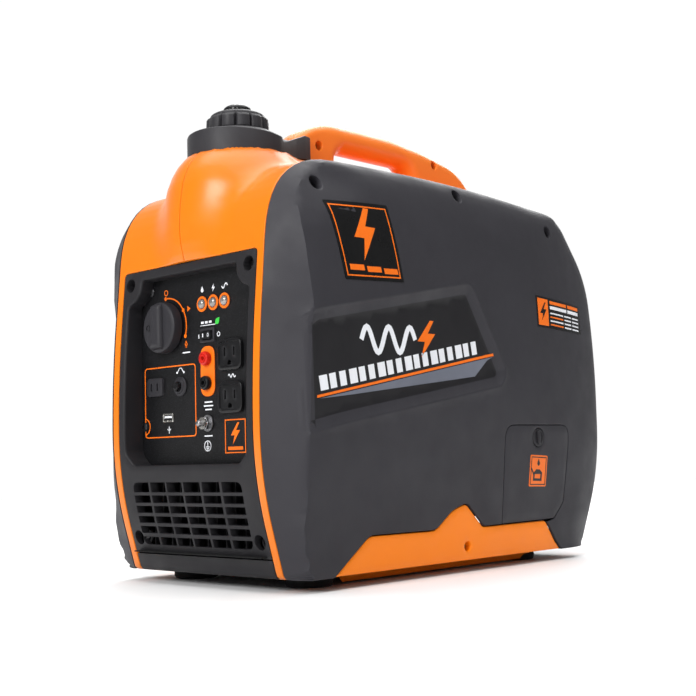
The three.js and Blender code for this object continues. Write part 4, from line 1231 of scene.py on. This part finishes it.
def make_recess_print():
    along = np.linspace(0, 1, 41)
    wave = np.stack((-160 + 72 * along, 215.5 + 3 * along + 11.5 * np.sin(along * 5 * math.pi)), 1)
    decal("output_wave", stroke(wave, 5.2), PRINT_WHITE, step=4)
    decal("output_bolt", EMBLEM * (0.414, 0.36) + (-72, 220.5), PRINT_ORANGE)
    slope = 45.5 / 243
    for k, start in enumerate(np.arange(-212, 2, 12.2)):
        width = 7.6 if k % 3 else 9.4
        low = 168.6 + slope * (start + 215)
        bar = np.array([(start + 0.6, low), (start + width + 0.6, low + slope * width),
                        (start + width - 1.6, low + 12.6 + slope * width), (start - 1.6, low + 12.6)])
        decal(f"stripe_{k:02d}", bar, PRINT_WHITE)
    decal("underline", np.array([(-216, 163.2), (28, 208.6), (27, 211), (-216, 165.4)]), PRINT_ORANGE)
    swoosh = np.array([(-214, 162.6), (27.2, 207.6), (18.6, 203.5), (-1, 187.5), (-173, 167)])
    decal("swoosh", swoosh, PRINT_SILVER, 0.2)


def make_rating_plate():
    y0, y1, z0, z1 = 103.0, 197.0, 242.5, 275.0
    label = rounded([(y0, z0, 1), (y1, z0 - 3, 1), (y1 - 2, z1 - 5, 1), (y0 - 1, z1, 1)], 3)
    decal("rating_plate", label, PRINT_BLACK, base=cover_x)
    block = np.array([(y0 + 2, z0 + 2), (y0 + 21, z0 + 1.4), (y0 + 21, z1 - 3.2), (y0 + 1.6, z1 - 2.4)])
    decal("rating_emblem", block, PRINT_ORANGE, 0.4, [EMBLEM * 0.21 + (y0 + 11.4, 258.4)], base=cover_x)
    tilt = 0.045
    for k, z in enumerate((268.6, 263.2, 258.2, 254.2, 250.2, 246.2)):
        large = k < 2
        height = 3.4 if large else 1.5
        columns = ((25, 60), (63, 88)) if large else ((25, 52), (55, 70), (73, 88))
        for j, (start, end) in enumerate(columns):
            bar = np.array([(y0 + start, z - tilt * start), (y0 + end, z - tilt * end),
                            (y0 + end, z + height - tilt * end), (y0 + start, z + height - tilt * start)])
            orange = k == 0 or (not large and j == 0 and k % 2)
            decal(f"rating_line_{k}_{j}", bar, PRINT_ORANGE if orange else PRINT_WHITE, 0.4, base=cover_x)


def make_oil_label():
    on_door = dict(body="oil_door", base=cover_x)
    label = rounded([(85.5, 78.5, 1.5), (115, 77.5, 1.5), (116.5, 109, 1.5), (87, 110.5, 1.5)], 3)
    decal("oil_label", label, PRINT_ORANGE, **on_door)
    inner = offset(label, 1.6)
    decal("oil_label_frame", inner, PRINT_BLACK, 0.4, [offset(inner, 1.0)], **on_door)
    can = np.array([(92, 84), (107, 83.4), (107.6, 92), (103, 95.4), (97.5, 95.6), (93, 92.4), (89.6, 97.2),
                    (88.6, 96.4), (92.2, 90)])
    window = np.array([(94.5, 86.5), (104.6, 86), (104.8, 90.6), (95, 90.8)])
    decal("oil_can", can, PRINT_BLACK, 0.4, [window], **on_door)
    drop = rounded([(101, 106.4, 0), (98.4, 101.2, 1.5), (101, 98.4, 1.5), (103.8, 101, 1.5)], 3)
    decal("oil_drop", drop, PRINT_BLACK, 0.4, **on_door)


def make_door_knob():
    y, z = DOOR_KNOB
    kept = ("door_knob", "control_black", "oil_door_knob")
    face = float(cover_x(np.array([DOOR_KNOB]))[0])
    disc = [(7.0, -4), (9.2, -3.6), (9.3, -0.4), (8.7, 0.3), (7.4, 0.4), (6.9, -0.6), (0.3, -0.7)]
    turned("door_knob_disc", disc, (face, y, z), (1, 0, 0), SOFT_BLACK, 48, *kept)
    bar = dense(box_loop(-1.6, 1.6, -7.0, 7.0, 1.2, 4) + (y, z), 2)
    top = min(face + 1.8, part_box("oil_door_knob")[1].x / MM - 0.1)
    shell("door_knob_bar", [bar], lambda p: np.column_stack((top - roll_off(p, [bar], 0.7), p)),
          across_x(face - 1), SOFT_BLACK, 1.5, *kept, rows=(0.2, 0.7))


# ---- Underside, filler neck, starter and what shows through the vents ----------------------
def make_feet():
    profile = [(5.0, 1.6), (6.5, 0.2), (18.4, 0.05), (20.6, 0.8), (21.4, 2.6), (21.4, 6.4), (20.9, 7.0),
               (20.9, 10.5)]
    for side in ("right", "left"):
        for end in ("front", "rear"):
            node = f"foot_{end}_{side}"
            low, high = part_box(node)
            centre = ((low.x + high.x) / 2 / MM, (low.y + high.y) / 2 / MM, 0)
            turned(f"{node}_pad", profile, centre, UP, RUBBER, 56, "casing", "rubber_black", node)


def make_filler_neck():
    axis = (0, CAP_AXIS_Y, 0)
    tube = [(22.1, 403), (22.1, 420.8), (21.6, 421.2), (19.4, 421.2), (19.0, 420.9), (19.0, 402)]
    turned("filler_neck", tube, axis, UP, SOFT_BLACK, 56, "casing", "control_black")
    strainer = [(0.5, 396), (17.6, 396.6), (18.8, 418.6), (18.9, 420.4), (17.6, 420.4), (16.8, 398),
                (0.5, 397.4)]
    turned("filler_strainer", strainer, axis, UP, NICKEL, 48, "casing", "nickel")


def block(name, x, y, z, surface, slot, rounding):
    """Block of the casing between the two ends given for each axis, with a rounded front edge."""
    loop = dense(box_loop(*x, *z, rounding, 4), 12)
    shell(name, [loop], lambda p: across_y(y[0] + roll_off(p, [loop], rounding), p),
          lambda p: across_y(np.full(len(p), y[1], float), p), surface, 20, "casing", slot,
          rows=(rounding * 0.3, rounding))


def make_intake():
    """Duct behind the front grille, with its upright ribs; its back and floor are near-black painted shade.
    """
    block("intake_back", (-90, 90), (-216.5, -215.2), (29, 104), PAINTED_SHADE_BLACK, "panel_black", 0.8)
    block("intake_floor", (-90, 90), (-238, -217), (29.2, 30.4), PAINTED_SHADE_BLACK, "panel_black", 0.4)
    for k, x in enumerate(np.arange(-76, 80, 13)):
        block(f"intake_rib_{k:02d}", (x, x + 1.6), (-224, -217), (31, 101), BEZEL, "bezel_black", 0.5)


def make_louvre_shade_sheet():
    """Near-black sheet close behind the rear louvres: painted shade standing for the shadow inside the
    casing.
    """
    loop = dense(rectangle(0, 121, 178, 138, 4), 8)

    def behind(depth):
        return lambda p: across_y(rear_y(p[:, 1]) - depth, p)
    shell("louvre_shade_sheet", [loop], behind(9.5), behind(10.7), PAINTED_SHADE_BLACK, 14, "casing", "panel_black", rows=(0.3,))


def make_starter():
    low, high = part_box("recoil_grip")
    y0, y1, z0, z1 = (v / MM for v in (low.y, high.y, low.z, high.z))
    centre = ((y0 + y1) / 2, (z0 + z1) / 2)
    loop = dense(rounded([(y0 + 0.3, z0 + 0.3, 7), (y1 - 0.3, z0 + 0.3, 7), (y1 - 0.3, z1 - 0.3, 7),
                          (centre[0], z1 - 2.4, 20), (y0 + 0.3, z1 - 0.3, 7)], 6), 3)
    outer, inner = -low.x / MM - 0.1, -high.x / MM + 0.1
    grip = skin("starter_grip", [loop], lambda p: np.column_stack((outer - roll_off(p, [loop], 4.5), p)),
                lambda p: np.column_stack((inner + roll_off(p, [loop], 2.0), p)), SOFT_BLACK, 3,
                rows=(0.4, 1.2, 2.4, 4.5))
    keep(mirrored(grip, "starter_grip_left"), "recoil_pull", "control_black", "recoil_grip")
    bpy.data.objects.remove(grip)

    rings = 40
    start, end = -116.5, -inner - 0.5

    def lay(radius, height, angle):
        return radius + 0.12 * math.cos(3 * angle + height * 1.4)
    profile = [(1.25, (end - start) * k / rings) for k in range(rings + 1)]
    rope = lathe("starter_rope", profile, (start, *centre), (1, 0, 0), ROPE, 18, 50, lay)
    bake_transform(rope)
    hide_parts("recoil_rope")


make_emblem()
make_recess_print()
make_rating_plate()
make_oil_label()
make_door_knob()
make_feet()
make_filler_neck()
make_intake()
make_louvre_shade_sheet()
make_starter()


# ---- Floor and light -----------------------------------------------------------------------
def make_world():
    """White backdrop behind the object, dimmer everywhere else."""
    world = bpy.data.worlds.new("studio")
    world.use_nodes = True
    nodes, links = world.node_tree.nodes, world.node_tree.links
    direction = nodes.new("ShaderNodeTexCoord")
    facing = nodes.new("ShaderNodeVectorMath")
    facing.operation = "DOT_PRODUCT"
    facing.inputs[1].default_value = (-0.693, 0.72, 0.0)
    links.new(direction.outputs["Generated"], facing.inputs[0])
    strength = remap(world.node_tree, facing.outputs["Value"], (0.62, 0.86), (0.28, 1.02))
    links.new(strength, nodes["Background"].inputs["Strength"])
    nodes["Background"].inputs["Color"].default_value = (1, 1, 1, 1)
    bpy.context.scene.world = world


# Name, place and size in metres, power in watts.
LIGHTS = [("key", (0.5, -2.7, 1.5), 1.2, 64), ("side", (2.8, -0.5, 2.2), 1.6, 10),
          ("top", (0.0, 0.0, 3.2), 3.6, 120), ("far", (-1.6, 2.6, 2.4), 2.5, 80)]


def make_stage():
    bpy.ops.mesh.primitive_grid_add(x_subdivisions=2, y_subdivisions=2, size=5.6, location=(0, 0, 0))
    floor = bpy.context.object
    floor.name = "floor"
    floor.data.materials.append(material("floor_white", (0.9, 0.9, 0.9, 1), 0.6, mottle=0.004))
    for name, place, size, power in LIGHTS:
        data = bpy.data.lights.new(name, "AREA")
        data.shape = "SQUARE"
        data.size = size
        data.energy = power
        lamp = bpy.data.objects.new(name, data)
        lamp.location = place
        aim = Vector((0, 0, 0.2)) - Vector(place)
        lamp.rotation_euler = aim.to_track_quat("-Z", "Y").to_euler()
        bpy.context.scene.collection.objects.link(lamp)


make_world()
make_stage()
bpy.context.view_layer.update()
